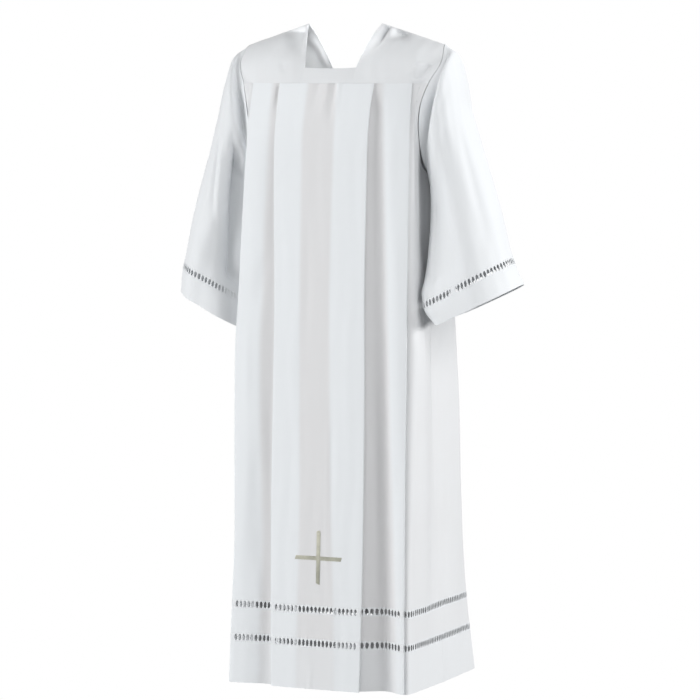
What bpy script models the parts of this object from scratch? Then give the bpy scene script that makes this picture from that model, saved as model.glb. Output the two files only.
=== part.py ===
"""Alb robe: hollow white vestment in its worn pose, pleated, with openwork bands and wide sleeves.

Frame: metres, +Z up, the front faces -Y, the wearer's left is +X.
The origin lies level with the two shoulder neck points, midway between them.
Sizes below are millimetres; MM turns them into metres when a mesh is written.
Every cloth piece is a wall of even thickness about a middle surface.
"""
import math
from collections import namedtuple

import bpy
import numpy as np

MM = 0.001

# ---- cloth and seams -------------------------------------------------------------------------
WALL = 1.2                 # thickness of every cloth wall
SEAM = 0.3                 # gap between two pieces that are sewn together
ARMHOLE_SEAM = 1.1         # the sleeve starts this far outside the armhole edge
UNDERARM_SEAM = 0.8        # and this much further out under the arm
LAYER = 2.0                # distance between two pressed layers of a pleat
TURN = LAYER / 2           # radius of a fold, measured at the middle of the cloth
BOW = 3.0                  # power of the curve from the middle of the front to its outer fold
CORNER_FALL = 2.0          # the corner's rounding is drawn this far back at its widest

# ---- heights ---------------------------------------------------------------------------------
YOKE_FRONT_Z = -130.0
YOKE_BACK_Z = -150.0
NECK_FRONT_Z = -96.0
NECK_BACK_Z = -98.0
UNDERARM_Z = -330.0
HEM_Z = -1450.0
OPENWORK_TALL = 18.4       # height of one openwork band
OPENWORK_UPPER_Z = -1276.0
OPENWORK_LOWER_Z = -1349.5

# ---- openwork --------------------------------------------------------------------------------
HOLE_PITCH = 9.4
HOLE_WIDE = 6.0
HOLE_TALL = 14.5

# ---- embroidered cross -----------------------------------------------------------------------
CROSS_X = 3.0
CROSS_Z = -1163.0
CROSS_TALL = 112.0
CROSS_WIDE = 110.0
CROSS_BAR = 9.5
CROSS_THICK = 0.8

# ---- body sections: one row a height, "out" is the distance from the X axis -------------------
# mid, edge: distance of the cloth at the middle and at the outer fold
# fold, panel, inner: distance from the middle to the outer fold, panel edge, hidden inner fold,
# _l on the wearer's left (+X) and _r on the right (-X)
# recess, slack: how far the centre pleat and the outer pleat stand open
# under: width of the outer pleat's hidden layer; corner: where the rounded corner meets the side
Row = namedtuple("Row", "z mid edge fold_l fold_r panel_l panel_r inner_l inner_r recess "
                        "under_l under_r slack corner_x corner_out")
FRONT_ROWS = (
    Row(-130, 105, 75, 187, 189, 110, 112, 27, 42, 0.5, 45, 45, 0.5, 204, 60.5),
    Row(-180, 112, 86, 188, 191, 105, 115, 26, 46, 3.0, 45, 45, 2.0, 199, 77),
    Row(-240, 118, 96, 190, 193, 102, 118, 25, 50, 7.0, 44, 45, 4.0, 199, 82),
    Row(-330, 121, 104, 192, 197, 101, 118, 23, 51, 11, 43, 45, 6.0, 201, 84),
    Row(-480, 126, 113, 194, 202, 100, 115, 20, 51, 16, 40, 46, 8.0, 204, 86),
    Row(-600, 130, 119, 195, 206, 100, 112, 19, 51, 20, 36, 48, 10, 207, 90),
    Row(-700, 134, 124, 196, 211, 102, 112, 21, 50, 23, 32, 50, 11, 213, 94),
    Row(-830, 139, 131, 197, 210, 104, 112, 24, 48, 26, 28, 50, 13, 213, 100),
    Row(-1040, 148, 141, 199, 206, 106, 112, 30, 44, 30, 20, 52, 15, 213, 108),
    Row(-1140, 152, 146, 200, 204, 106, 111, 35, 44, 32, 16, 53, 16, 212, 112),
    Row(-1250, 157, 151, 201, 207, 106, 109, 40, 45, 34, 12, 55, 17, 213, 116),
    Row(-1450, 166, 160, 204, 212, 104, 105, 46, 46, 36, 9, 57, 18, 216, 124),
)
BACK_ROWS = (
    Row(-150, 88, 72, 187, 187, 109, 109, 38, 38, 0.5, 45, 45, 0.5, 206, 62.5),
    Row(-190, 99, 84, 188, 188, 108, 108, 38, 38, 3.0, 45, 45, 2.0, 200, 75),
    Row(-240, 108, 94, 190, 190, 107, 107, 39, 39, 6.0, 45, 45, 4.0, 200, 82),
    Row(-330, 119, 107, 192, 192, 107, 107, 40, 40, 10, 44, 45, 6.0, 202, 92),
    Row(-480, 137, 125, 196, 196, 108, 108, 41, 41, 14, 43, 44, 8.0, 206, 98),
    Row(-600, 153, 141, 200, 200, 109, 109, 42, 42, 17, 42, 43, 10, 208, 112),
    Row(-830, 173, 161, 206, 206, 110, 110, 43, 43, 22, 38, 40, 12, 214, 132),
    Row(-1040, 184, 172, 208, 208, 110, 110, 44, 44, 25, 34, 37, 14, 215, 142),
    Row(-1250, 207, 195, 210, 210, 111, 111, 45, 45, 28, 30, 34, 15, 217, 163),
    Row(-1450, 242, 230, 219, 219, 112, 112, 46, 46, 30, 28, 32, 16, 224, 196),
)
SideSeam = namedtuple("SideSeam", "z x y")
SIDE_SEAM = (
    SideSeam(-330, 202, 6),
    SideSeam(-480, 206, 10),
    SideSeam(-600, 208, 15),
    SideSeam(-830, 213, 20),
    SideSeam(-1040, 216, 24),
    SideSeam(-1250, 219, 28),
    SideSeam(-1450, 223, 30),
)

# ---- armhole: twelve points round the seam, from the shoulder tip down the front and up the back
Point = namedtuple("Point", "x y z")
ARMHOLE = (
    Point(233, 8, -46),
    Point(239, -32, -86),
    Point(220, -56, -130),
    Point(206, -70, -180),
    Point(200, -64, -240),
    Point(200, -38, -300),
    Point(202, 6, -330),
    Point(202, 46, -300),
    Point(203, 70, -240),
    Point(208, 72, -190),
    Point(220, 60, -150),
    Point(238, 38, -92),
)
SHOULDER_TIP, FRONT_SEAM, UNDERARM, BACK_SEAM, FULL_TURN = 0, 2, 6, 10, 12

# ---- sleeves: one row a ring, "along" is measured on the outer side from the shoulder tip -----
# inner and outer give the ring's ends beside the body and away from it, front and back its depth
# square: 2 is an ellipse, more flattens the side next to the body into an upright fold
Ring = namedtuple("Ring", "along inner_x inner_z outer_x outer_z front back square")
SLEEVE_RINGS_LEFT = (
    Ring(30, 207, -341, 258, -62, -76, 84, 2.0),
    Ring(80, 210, -366, 274, -110, -78, 90, 2.0),
    Ring(155, 211, -406, 287, -185, -78, 96, 2.0),
    Ring(225, 212, -452, 308, -250, -80, 101, 2.7),
    Ring(298, 212, -503, 331, -318, -86, 105, 3.8),
    Ring(390, 213, -553, 359, -405, -95, 108, 5.0),
    Ring(490, 213, -592, 386, -505, -104, 110, 5.5),
    Ring(508.4, 217, -609, 392, -522, -105, 110, 5.5),
    Ring(549, 242, -643, 411, -565, -106, 111, 4.5),
)
SLEEVE_RINGS_RIGHT = (
    Ring(30, 207, -341, 258, -64, -78, 84, 2.0),
    Ring(80, 210, -368, 277, -112, -82, 90, 2.0),
    Ring(155, 211, -411, 296, -190, -84, 97, 2.0),
    Ring(225, 212, -461, 314, -259, -85, 102, 2.1),
    Ring(298, 212, -517, 337, -332, -87, 105, 2.2),
    Ring(390, 213, -572, 364, -424, -89, 108, 2.3),
    Ring(490, 213, -612, 387, -527, -91, 110, 2.4),
    Ring(508.4, 215, -629, 391, -545, -92, 111, 2.4),
    Ring(549, 221, -686, 396, -596, -93, 112, 2.4),
)
CUFF_TOP, CUFF_BOTTOM, CUFF_HEM = 490.0, 508.4, 549.0
CUFF_PITCH_LEFT = 0.127     # slope of the cuff from back down to front
CUFF_PITCH_RIGHT = -0.134
SLEEVE_MIDDLE_Y = 10.0

# ---- yokes -----------------------------------------------------------------------------------
NECK_POINT = Point(88, 0, 0)
NECK_CORNER_X = 61.0
NECK_FRONT_Y = -80.0
NECK_BACK_Y = 70.0
NECK_DIP = 2.0              # sag of the neckline at its middle
NECK_BOW = 8.0              # the neckline's middle stands this far out
STRAP_BOW = 9.0             # bulge of the neck edge over the collar bone
NECK_ROW = 0.75             # share of the yoke's height taken by the neck opening
SEAM_TUCK_MIDDLE = 1.0      # the yoke lies this far behind the panel, at the middle
SEAM_TUCK_OUTER = 5.5       # and this much further at the armhole

# ---- how finely each piece is divided --------------------------------------------------------
# Each tuple holds the divisions of one span of the pleated section, as shares of its length.
# Layers that lie on each other are divided at the same distances from the middle.
SPAN_SHARES = (
    (0, 0.5),                # panel
    (0, 0.5),                # its edge fold
    (0, 0.5),                # hidden layer
    (0, 0.5),                # inner fold
    (0, 0.35, 0.7, 0.85),    # strip
    (0, 0.5),                # outer fold
    (0, 0.5),                # hidden layer of the outer pleat
    (0, 0.5),                # its fold
    (0,),                    # stretch behind the outer fold
    (0, 0.5),                # rounded corner
    (0, 0.5),                # side
)
SKIRT_FRONT_LEVELS = (-180, -240, -300, -330, -460, -620, -760, -920, -1090)
SKIRT_BACK_LEVELS = (-200, -250, -300, -330, -460, -620, -840, -1050)
# Holes are cut where a band shows from the front and from the wearer's left, as runs of places.
CUT_RUNS_FRONT = ((-5.0, -4.4), (-1.0, 1.0), (4.4, 5.0), (9.3, 11.0))
CUT_RUNS_BACK = ((10.0, 11.0),)
SLEEVE_COLUMNS = 24
SLEEVE_LEVELS = (0, 16, 40, 90, 155, 225, 298, 390, 440)
YOKE_COLUMNS = 5
NECK_COLUMNS = 4
STRAP_ROWS = 3
LOWER_YOKE_ROWS = 1


def smooth(knots, values, at):
    """Value of a smooth curve through (knots, values); knots rise, values may be arrays."""
    knots = np.asarray(knots, float)
    values = np.asarray(values, float)
    last = len(knots) - 1
    k = int(np.clip(np.searchsorted(knots, at, side="right") - 1, 0, last - 1))
    steps = np.diff(knots)
    slopes = np.diff(values, axis=0) / steps.reshape((-1,) + (1,) * (values.ndim - 1))

    def tangent(i):
        if i == 0:
            return slopes[0]
        if i == last:
            return slopes[-1]
        return (steps[i] * slopes[i - 1] + steps[i - 1] * slopes[i]) / (steps[i - 1] + steps[i])

    h = steps[k]
    t = (at - knots[k]) / h
    return ((2 * t ** 3 - 3 * t ** 2 + 1) * values[k] + (t ** 3 - 2 * t ** 2 + t) * h * tangent(k)
            + (3 * t ** 2 - 2 * t ** 3) * values[k + 1] + (t ** 3 - t ** 2) * h * tangent(k + 1))


def level(rows, z):
    """The table's row at any height."""
    knots = [-row.z for row in rows]
    return type(rows[0])(*smooth(knots, rows, min(max(-z, knots[0]), knots[-1])))


def armhole(turn):
    """Point of the armhole seam; turn runs from 0 at the shoulder tip to 12, by way of the front."""
    count = len(ARMHOLE)
    knots = range(-2, count + 3)
    points = [ARMHOLE[k % count] for k in knots]
    return smooth(list(knots), points, turn % count)


def armhole_turn(z, low, high):
    """The turn between low and high at which the armhole is at height z."""
    rising = armhole(high)[2] > armhole(low)[2]
    for _ in range(40):
        middle = (low + high) / 2
        if (armhole(middle)[2] < z) == rising:
            low = middle
        else:
            high = middle
    return (low + high) / 2


# ---- the pleated body ------------------------------------------------------------------------
SPANS = len(SPAN_SHARES)


def side_end(front, z):
    """Where a half section ends: on the armhole above the underarm, on the side seam below."""
    if z >= UNDERARM_Z:
        turn = (armhole_turn(z, FRONT_SEAM, UNDERARM) if front
                else armhole_turn(z, UNDERARM, BACK_SEAM))
        x, y, _ = armhole(turn)
        return x, (-y if front else y) + SEAM / 2
    seam = level(SIDE_SEAM, z)
    return seam.x, (-seam.y if front else seam.y) + SEAM / 2


def body_point(front, place, z):
    """Middle of the cloth in plan, at one place along the pleated section.

    place runs from 0 at the middle to 11 at the side, negative on the wearer's right: panel,
    its edge fold, hidden layer, inner fold, strip, outer fold, hidden layer, its fold, the
    stretch behind the outer fold, the rounded corner and the side.
    """
    row = level(FRONT_ROWS if front else BACK_ROWS, z)
    left = place >= 0
    fold = row.fold_l if left else row.fold_r
    panel = row.panel_l if left else row.panel_r
    inner = row.inner_l if left else row.inner_r
    under = fold - (row.under_l if left else row.under_r)
    span = min(int(abs(place)), SPANS - 1)
    part = abs(place) - span
    bend = math.pi * part

    def cloth(across, depth):
        return across, row.mid - (row.mid - row.edge) * (across / fold) ** BOW - depth

    if span == 0:
        across, out = cloth(panel * part, 0.0)
    elif span == 1:
        across, out = cloth(panel + TURN * math.sin(bend), TURN * (1 - math.cos(bend)))
    elif span == 2:
        across, out = cloth(panel + (inner - panel) * part, LAYER + row.recess * part)
    elif span == 3:
        across, out = cloth(inner - TURN * math.sin(bend),
                            LAYER + row.recess + TURN * (1 - math.cos(bend)))
    elif span == 4:
        across, out = cloth(inner + (fold - inner) * part, 2 * LAYER + row.recess * (1 - part))
    elif span == 5:
        across, out = cloth(fold + TURN * math.sin(bend), 2 * LAYER + TURN * (1 - math.cos(bend)))
    elif span == 6:
        across, out = cloth(fold + (under - fold) * part, 3 * LAYER + row.slack * part)
    elif span == 7:
        across, out = cloth(under - TURN * math.sin(bend),
                            3 * LAYER + row.slack + TURN * (1 - math.cos(bend)))
    else:
        start = np.array(cloth(under, 4 * LAYER + row.slack))
        behind = np.array(cloth(fold, 4 * LAYER + 0.35 * row.slack))
        corner = np.array((row.corner_x, row.corner_out))
        if span == 8:
            across, out = start + (behind - start) * part
        elif span == 9:
            pull = np.array((row.corner_x, behind[1] - CORNER_FALL))
            across, out = ((1 - part) ** 2 * behind + 2 * part * (1 - part) * pull
                           + part ** 2 * corner)
        else:
            across, out = corner + (np.array(side_end(front, z)) - corner) * part
    return (across if left else -across), (-out if front else out)


def body_wall_point(front, place, z):
    """Outer and inner point of the cloth at one place and height."""
    reach = 0.004
    limit = SPANS - 1e-9
    before = body_point(front, max(place - reach, -limit), z)
    after = body_point(front, min(place + reach, limit), z)
    along = np.subtract(after, before)
    normal = np.array((along[1], -along[0])) / np.linalg.norm(along)
    if not front:
        normal = -normal
    middle = np.array(body_point(front, min(max(place, -limit), limit), z))
    return tuple(np.append(middle + side * normal * WALL / 2, z) for side in (1, -1))


def places():
    """All divisions of a whole section, from the wearer's right side to the left."""
    half = [span + share for span, shares in enumerate(SPAN_SHARES) for share in shares]
    half.append(float(SPANS))
    return [-p for p in reversed(half[1:])] + half


# ---- the sleeves -----------------------------------------------------------------------------
def sleeve_point(left, turn, along):
    """Middle of the sleeve's cloth; turn as on the armhole, along from the seam to the hem."""
    angle = 2 * math.pi * turn / FULL_TURN
    seam = ARMHOLE_SEAM + UNDERARM_SEAM * math.sin(angle / 2) ** 2
    knots = [0.0]
    points = [armhole(turn) + np.array((seam, 0.0, 0.0))]
    for ring in SLEEVE_RINGS_LEFT if left else SLEEVE_RINGS_RIGHT:
        knots.append(ring.along)
        cosine, sine = math.cos(angle), math.sin(angle)
        if cosine < 0:
            cosine = -abs(cosine) ** (2 / ring.square)
            sine = math.copysign(abs(sine) ** (2 / ring.square), sine)
        share = (cosine + 1) / 2
        y = (ring.front + ring.back) / 2 - (ring.back - ring.front) / 2 * sine
        pitch = (CUFF_PITCH_LEFT if left else CUFF_PITCH_RIGHT) * ring.along / CUFF_HEM
        z = ring.inner_z + (ring.outer_z - ring.inner_z) * share + pitch * (y - SLEEVE_MIDDLE_Y)
        points.append(np.array((ring.inner_x + (ring.outer_x - ring.inner_x) * share, y, z)))
    return smooth(knots, points, along) * ((1, 1, 1) if left else (-1, 1, 1))


def sleeve_wall_point(left, turn, along):
    """Outer and inner point of the sleeve's cloth."""
    reach_turn, reach_along = 0.02, 1.0
    middle = sleeve_point(left, turn, along)
    round_it = sleeve_point(left, turn + reach_turn, along) - sleeve_point(left, turn - reach_turn, along)
    down = (sleeve_point(left, turn, min(along + reach_along, CUFF_HEM))
            - sleeve_point(left, turn, max(along - reach_along, 0.0)))
    normal = np.cross(round_it, down) * (1 if left else -1)
    normal /= np.linalg.norm(normal)
    return middle + normal * WALL / 2, middle - normal * WALL / 2


# ---- the yokes -------------------------------------------------------------------------------
def yoke_seam_point(front, across):
    """Middle of the yoke's cloth at its lower seam."""
    row = (FRONT_ROWS if front else BACK_ROWS)[0]
    edge_x, edge_y, z = armhole(FRONT_SEAM if front else BACK_SEAM)
    share = min(abs(across) / edge_x, 1.0)
    out = row.mid - (row.mid - row.edge) * (abs(across) / row.fold_l) ** BOW
    out -= SEAM_TUCK_MIDDLE + SEAM_TUCK_OUTER * share
    blend = max(0.0, (share - 0.8) / 0.2)
    out += (abs(edge_y) - out) * blend ** 2
    return np.array((across, -out if front else out, z))


def neck_edge_point(front, share):
    """Neck edge from the neck point down to the corner, then on down to the yoke's seam."""
    corner = np.array((NECK_CORNER_X, NECK_FRONT_Y if front else NECK_BACK_Y,
                       NECK_FRONT_Z if front else NECK_BACK_Z))
    if share <= NECK_ROW:
        part = share / NECK_ROW
        bulge = STRAP_BOW * math.sin(math.pi * part)
        return np.array(NECK_POINT) * (1 - part) + corner * part + np.array((0.0, 0.0, bulge))
    part = (share - NECK_ROW) / (1 - NECK_ROW)
    return corner * (1 - part) + yoke_seam_point(front, NECK_CORNER_X) * part


def yoke_point(front, across, share):
    """Strap of the yoke: a sheet stretched between its four edges."""
    tip = np.array(ARMHOLE[SHOULDER_TIP], float)
    turn = FRONT_SEAM * share if front else FULL_TURN - (FULL_TURN - BACK_SEAM) * share
    neck, arm = neck_edge_point(front, share), armhole(turn)
    edge_x = armhole(FRONT_SEAM if front else BACK_SEAM)[0]
    shoulder = np.array(NECK_POINT) * (1 - across) + tip * across
    seam = yoke_seam_point(front, NECK_CORNER_X + (edge_x - NECK_CORNER_X) * across)
    corners = ((1 - across) * (1 - share) * np.array(NECK_POINT) + across * (1 - share) * tip
               + (1 - across) * share * neck_edge_point(front, 1.0)
               + across * share * yoke_seam_point(front, edge_x))
    return (1 - share) * shoulder + share * seam + (1 - across) * neck + across * arm - corners


def neck_strip_point(front, across, share):
    """Part of the yoke below the neckline; across runs from -1 to 1, share from the neckline."""
    side = neck_edge_point(front, share)
    middle = 1 - across ** 2
    part = (share - NECK_ROW) / (1 - NECK_ROW)
    outward = -1 if front else 1
    point = np.array((side[0] * across, side[1] + outward * NECK_BOW * middle, side[2] - NECK_DIP * middle))
    return point * (1 - part) + yoke_seam_point(front, NECK_CORNER_X * across) * part


def yoke_sheet(front):
    """Points and faces of the yoke's middle surface."""
    shares = [NECK_ROW * k / STRAP_ROWS for k in range(STRAP_ROWS)]
    shares += [NECK_ROW + (1 - NECK_ROW) * k / LOWER_YOKE_ROWS for k in range(LOWER_YOKE_ROWS + 1)]
    points, index, faces = [], {}, []

    def add(key, point):
        if key not in index:
            index[key] = len(points)
            points.append(point)
        return index[key]

    outward = -1 if front else 1
    for row, share in enumerate(shares):
        for column in range(YOKE_COLUMNS + 1):
            x, y, z = yoke_point(front, column / YOKE_COLUMNS, share)
            y += outward * SEAM / 2 if row == 0 else 0.0
            add((1, column, row), np.array((x, y, z)))
            add((-1, column, row), np.array((-x, y, z)))
        if share >= NECK_ROW:
            for column in range(1, NECK_COLUMNS):
                across = 2 * column / NECK_COLUMNS - 1
                add((0, column, row), neck_strip_point(front, across, share))

    def strip(column, row):
        if column == 0:
            return index[(-1, 0, row)]
        if column == NECK_COLUMNS:
            return index[(1, 0, row)]
        return index[(0, column, row)]

    for row in range(len(shares) - 1):
        for column in range(YOKE_COLUMNS):
            for side in (1, -1):
                quad = [index[(side, column, row)], index[(side, column, row + 1)],
                        index[(side, column + 1, row + 1)], index[(side, column + 1, row)]]
                faces.append(quad if side == 1 else quad[::-1])
        if row >= STRAP_ROWS:
            for column in range(NECK_COLUMNS):
                faces.append([strip(column, row), strip(column, row + 1),
                              strip(column + 1, row + 1), strip(column + 1, row)])
    if not front:
        faces = [face[::-1] for face in faces]
    return points, faces, {index[(side, c, 0)] for side in (1, -1) for c in range(YOKE_COLUMNS + 1)}, {
        n for key, n in index.items() if key[2] == len(shares) - 1}


# ---- meshes ----------------------------------------------------------------------------------
def material(name, colour, roughness):
    """Plain cloth or thread material."""
    made = bpy.data.materials.new(name)
    made.use_nodes = True
    shader = made.node_tree.nodes["Principled BSDF"]
    shader.inputs["Base Color"].default_value = (*colour, 1.0)
    shader.inputs["Roughness"].default_value = roughness
    shader.inputs["Metallic"].default_value = 0.0
    return made


CLOTH = ("cloth", (0.80, 0.83, 0.85), 0.75)
OPENWORK = ("openwork", (0.82, 0.84, 0.86), 0.7)
THREAD = ("thread", (0.52, 0.52, 0.44), 0.5)


def wall_object(name, outer, inner, faces, finish):
    """Closed solid between two matching sheets; every free edge gets a rim."""
    count = len(outer)
    edges = {(face[k], face[(k + 1) % len(face)]) for face in faces for k in range(len(face))}
    rims = sorted((b, a, a + count, b + count) for a, b in edges if (b, a) not in edges)
    # A twisted quad is cut along the same diagonal on both sides, so that the wall keeps its thickness.
    triangles = []
    for face in faces:
        if len(face) == 3:
            triangles.append(tuple(face))
            continue
        a, b, c, d = face
        if math.dist(outer[a], outer[c]) <= math.dist(outer[b], outer[d]):
            triangles += [(a, b, c), (a, c, d)]
        else:
            triangles += [(a, b, d), (b, c, d)]
    inside = [tuple(n + count for n in reversed(triangle)) for triangle in triangles]
    mesh = bpy.data.meshes.new(name)
    mesh.from_pydata([tuple(np.asarray(p) * MM) for p in (*outer, *inner)], [],
                     triangles + inside + rims)
    mesh.materials.append(material(f"{name}_{finish[0]}", finish[1], finish[2]))
    mesh.shade_smooth()
    made = bpy.data.objects.new(name, mesh)
    bpy.context.scene.collection.objects.link(made)
    return made


def grid_faces(rows, columns, closed=False):
    """Quads of a grid whose points are stored row by row, wound to face outwards."""
    faces = []
    for row in range(rows - 1):
        for column in range(columns if closed else columns - 1):
            right = (column + 1) % columns
            faces.append((row * columns + column, (row + 1) * columns + column,
                          (row + 1) * columns + right, row * columns + right))
    return faces


def body_piece(name, front, levels, finish=CLOTH):
    """One piece of the body over the given heights, from the top down."""
    pairs = [body_wall_point(front, place, z) for z in levels for place in places()]
    faces = grid_faces(len(levels), len(places()))
    if not front:
        faces = [face[::-1] for face in faces]
    return wall_object(name, [p[0] for p in pairs], [p[1] for p in pairs], faces, finish)


def openwork_faces(columns, holes):
    """Faces of a band with one diamond hole in each marked column.

    Points: top and bottom of every division, then four for each hole (left, right, up, down).
    """
    faces = []
    hole = 2 * (columns + 1)
    for column in range(columns):
        top, bottom = 2 * column, 2 * column + 1
        next_top, next_bottom = top + 2, bottom + 2
        if column not in holes:
            faces.append((top, bottom, next_bottom, next_top))
            continue
        left, right, up, down = range(hole, hole + 4)
        hole += 4
        faces += [(top, bottom, left), (bottom, down, left), (top, left, up), (top, up, next_top),
                  (bottom, next_bottom, down), (next_bottom, right, down),
                  (next_top, up, right), (next_bottom, next_top, right)]
    return faces


def openwork_piece(name, wall_point, divisions, holes, top, bottom, flip):
    """A band with holes: wall_point(place, height) gives the outer and inner point."""
    middle = (top + bottom) / 2
    half_tall = HOLE_TALL / 2 * (1 if top > bottom else -1)
    half_wide = HOLE_WIDE / HOLE_PITCH / 2
    pairs = []
    for division in divisions:
        pairs += [wall_point(division, top), wall_point(division, bottom)]
    for column in sorted(holes):
        start, end = divisions[column], divisions[column + 1]
        centre = (start + end) / 2
        pairs += [wall_point(centre - half_wide * (end - start), middle),
                  wall_point(centre + half_wide * (end - start), middle),
                  wall_point(centre, middle + half_tall),
                  wall_point(centre, middle - half_tall)]
    faces = openwork_faces(len(divisions) - 1, holes)
    if flip:
        faces = [face[::-1] for face in faces]
    return wall_object(name, [p[0] for p in pairs], [p[1] for p in pairs], faces, OPENWORK)


def hole_stops(point, start, end, trim=0.0):
    """Divide the curve point(start..end) into equal lengths of about one hole pitch."""
    samples = np.linspace(start, end, 401)
    points = [point(sample) for sample in samples]
    lengths = np.concatenate(([0.0], np.cumsum([math.dist(a, b) for a, b in zip(points, points[1:])])))
    count = round(lengths[-1] / HOLE_PITCH)
    return [float(stop) for stop in
            np.interp(np.linspace(trim, lengths[-1] - trim, count + 1), lengths, samples)]


def body_openwork(name, front, z, cut_runs):
    """Openwork band of the body; cut_runs are the (start, end) places that carry holes."""
    divisions = [p for p in places() if not any(start <= p <= end for start, end in cut_runs)]
    for start, end in cut_runs:
        divisions += hole_stops(lambda place: body_point(front, place, z), start, end)
    divisions.sort()
    holes = {k for k, p in enumerate(divisions[:-1])
             if any(start <= p < end for start, end in cut_runs)}
    half = OPENWORK_TALL / 2 - SEAM / 2
    return openwork_piece(name, lambda place, height: body_wall_point(front, place, height),
                          divisions, holes, z + half, z - half, flip=not front)


def sleeve_pieces(left):
    """Sleeve, the two halves of its openwork band, and its hem."""
    side = "left" if left else "right"
    turns = [FULL_TURN * k / SLEEVE_COLUMNS for k in range(SLEEVE_COLUMNS)]

    def tube(name, levels):
        pairs = [sleeve_wall_point(left, turn, along) for along in levels for turn in turns]
        faces = grid_faces(len(levels), len(turns), closed=True)
        # Mirroring the sleeve turns its winding round.
        faces = [face[::-1] for face in faces] if left else faces
        wall_object(name, [p[0] for p in pairs], [p[1] for p in pairs], faces, CLOTH)

    tube(f"sleeve_{side}", [*SLEEVE_LEVELS, CUFF_TOP - SEAM / 2])
    tube(f"cuff_hem_{side}", [CUFF_BOTTOM + SEAM / 2, CUFF_HEM])
    middle = (CUFF_TOP + CUFF_BOTTOM) / 2
    for half, (start, end) in {"front": (0, UNDERARM), "back": (UNDERARM, FULL_TURN)}.items():
        divisions = hole_stops(lambda turn: sleeve_point(left, turn, middle), start, end, SEAM / 2)
        openwork_piece(f"cuff_openwork_{side}_{half}",
                       lambda turn, along: sleeve_wall_point(left, turn, along),
                       divisions, set(range(len(divisions) - 1)),
                       CUFF_TOP + SEAM / 2, CUFF_BOTTOM - SEAM / 2, flip=left)


def yoke_piece(name, front):
    """One yoke as a wall; its rims lie square to the seams they are sewn along."""
    points, faces, shoulder_row, seam_row = yoke_sheet(front)
    normals = [np.zeros(3) for _ in points]
    for face in faces:
        a, b, c, d = (np.asarray(points[n]) for n in face)
        normal = np.cross(c - a, d - b)
        for n in face:
            normals[n] = normals[n] + normal
    outer, inner = [], []
    for n, (point, normal) in enumerate(zip(points, normals)):
        normal = np.array(normal)
        if n in shoulder_row:
            normal[1] = 0.0
        if n in seam_row:
            normal[2] = 0.0
        normal = normal / np.linalg.norm(normal)
        outer.append(point + normal * WALL / 2)
        inner.append(point - normal * WALL / 2)
    return wall_object(name, outer, inner, faces, CLOTH)


def cross_piece():
    """Embroidered cross, raised on the centre panel from the panel's own points."""
    half_bar, half_tall, half_wide = CROSS_BAR / 2, CROSS_TALL / 2, CROSS_WIDE / 2
    across = (-half_wide, -half_bar, half_bar, half_wide)
    up = (half_tall, half_bar, -half_bar, -half_tall)
    lift = WALL / 2 + SEAM + 0.1
    index, outer, inner = {}, [], []
    for row, height in enumerate(up):
        for column, x in enumerate(across):
            if row in (0, 3) and column in (0, 3):
                continue
            z = CROSS_Z + height
            cloth = level(FRONT_ROWS, z)
            y = -(cloth.mid - (cloth.mid - cloth.edge) * (abs(CROSS_X + x) / cloth.fold_l) ** BOW)
            index[(row, column)] = len(outer)
            outer.append(np.array((CROSS_X + x, y - lift - CROSS_THICK, z)))
            inner.append(np.array((CROSS_X + x, y - lift, z)))
    cells = [(0, 1), (1, 0), (1, 1), (1, 2), (2, 1)]
    faces = [(index[(r, c)], index[(r + 1, c)], index[(r + 1, c + 1)], index[(r, c + 1)])
             for r, c in cells]
    return wall_object("front_cross", outer, inner, faces, THREAD)


def main():
    for old in list(bpy.data.objects):
        bpy.data.objects.remove(old, do_unlink=True)

    half_band = OPENWORK_TALL / 2 + SEAM / 2
    for front, side in ((True, "front"), (False, "back")):
        seam_z = YOKE_FRONT_Z if front else YOKE_BACK_Z
        levels = SKIRT_FRONT_LEVELS if front else SKIRT_BACK_LEVELS
        yoke_piece(f"yoke_{side}", front)
        body_piece(f"skirt_{side}", front, [seam_z - SEAM, *levels, OPENWORK_UPPER_Z + half_band])
        body_piece(f"skirt_band_{side}", front,
                   [OPENWORK_UPPER_Z - half_band, OPENWORK_LOWER_Z + half_band])
        body_piece(f"hem_{side}", front, [OPENWORK_LOWER_Z - half_band, HEM_Z])
        for name, z in (("upper", OPENWORK_UPPER_Z), ("lower", OPENWORK_LOWER_Z)):
            body_openwork(f"openwork_{name}_{side}", front, z, CUT_RUNS_FRONT if front else CUT_RUNS_BACK)
    for left in (True, False):
        sleeve_pieces(left)
    cross_piece()


main()
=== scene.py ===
"""Alb robe, dressed: thin cloth, openwork bands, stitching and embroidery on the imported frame.

Sizes are millimetres unless a name says otherwise; MM turns them into metres.
The front faces -Y and the wearer's left is +X. The robe keeps the hollow shape it has when worn.
"""
from __future__ import annotations

import logging
import math
from collections.abc import Callable, Iterator, Sequence
from contextlib import contextmanager
from dataclasses import astuple, dataclass, field, fields
from enum import Enum

import bpy
import numpy as np
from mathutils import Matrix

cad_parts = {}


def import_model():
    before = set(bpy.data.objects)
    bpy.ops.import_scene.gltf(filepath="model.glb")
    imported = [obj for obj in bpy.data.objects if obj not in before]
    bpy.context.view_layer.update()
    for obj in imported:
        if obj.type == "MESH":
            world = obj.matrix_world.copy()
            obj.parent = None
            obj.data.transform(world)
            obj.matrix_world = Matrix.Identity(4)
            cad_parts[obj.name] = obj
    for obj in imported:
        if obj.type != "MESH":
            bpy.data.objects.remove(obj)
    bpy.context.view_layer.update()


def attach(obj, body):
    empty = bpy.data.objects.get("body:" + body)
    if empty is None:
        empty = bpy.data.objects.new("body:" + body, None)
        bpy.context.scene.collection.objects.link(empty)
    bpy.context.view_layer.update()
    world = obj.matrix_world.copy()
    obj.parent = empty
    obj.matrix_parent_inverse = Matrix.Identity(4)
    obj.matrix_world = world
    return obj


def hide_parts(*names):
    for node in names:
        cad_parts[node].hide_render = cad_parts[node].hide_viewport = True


LOG = logging.getLogger("alb")
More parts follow.
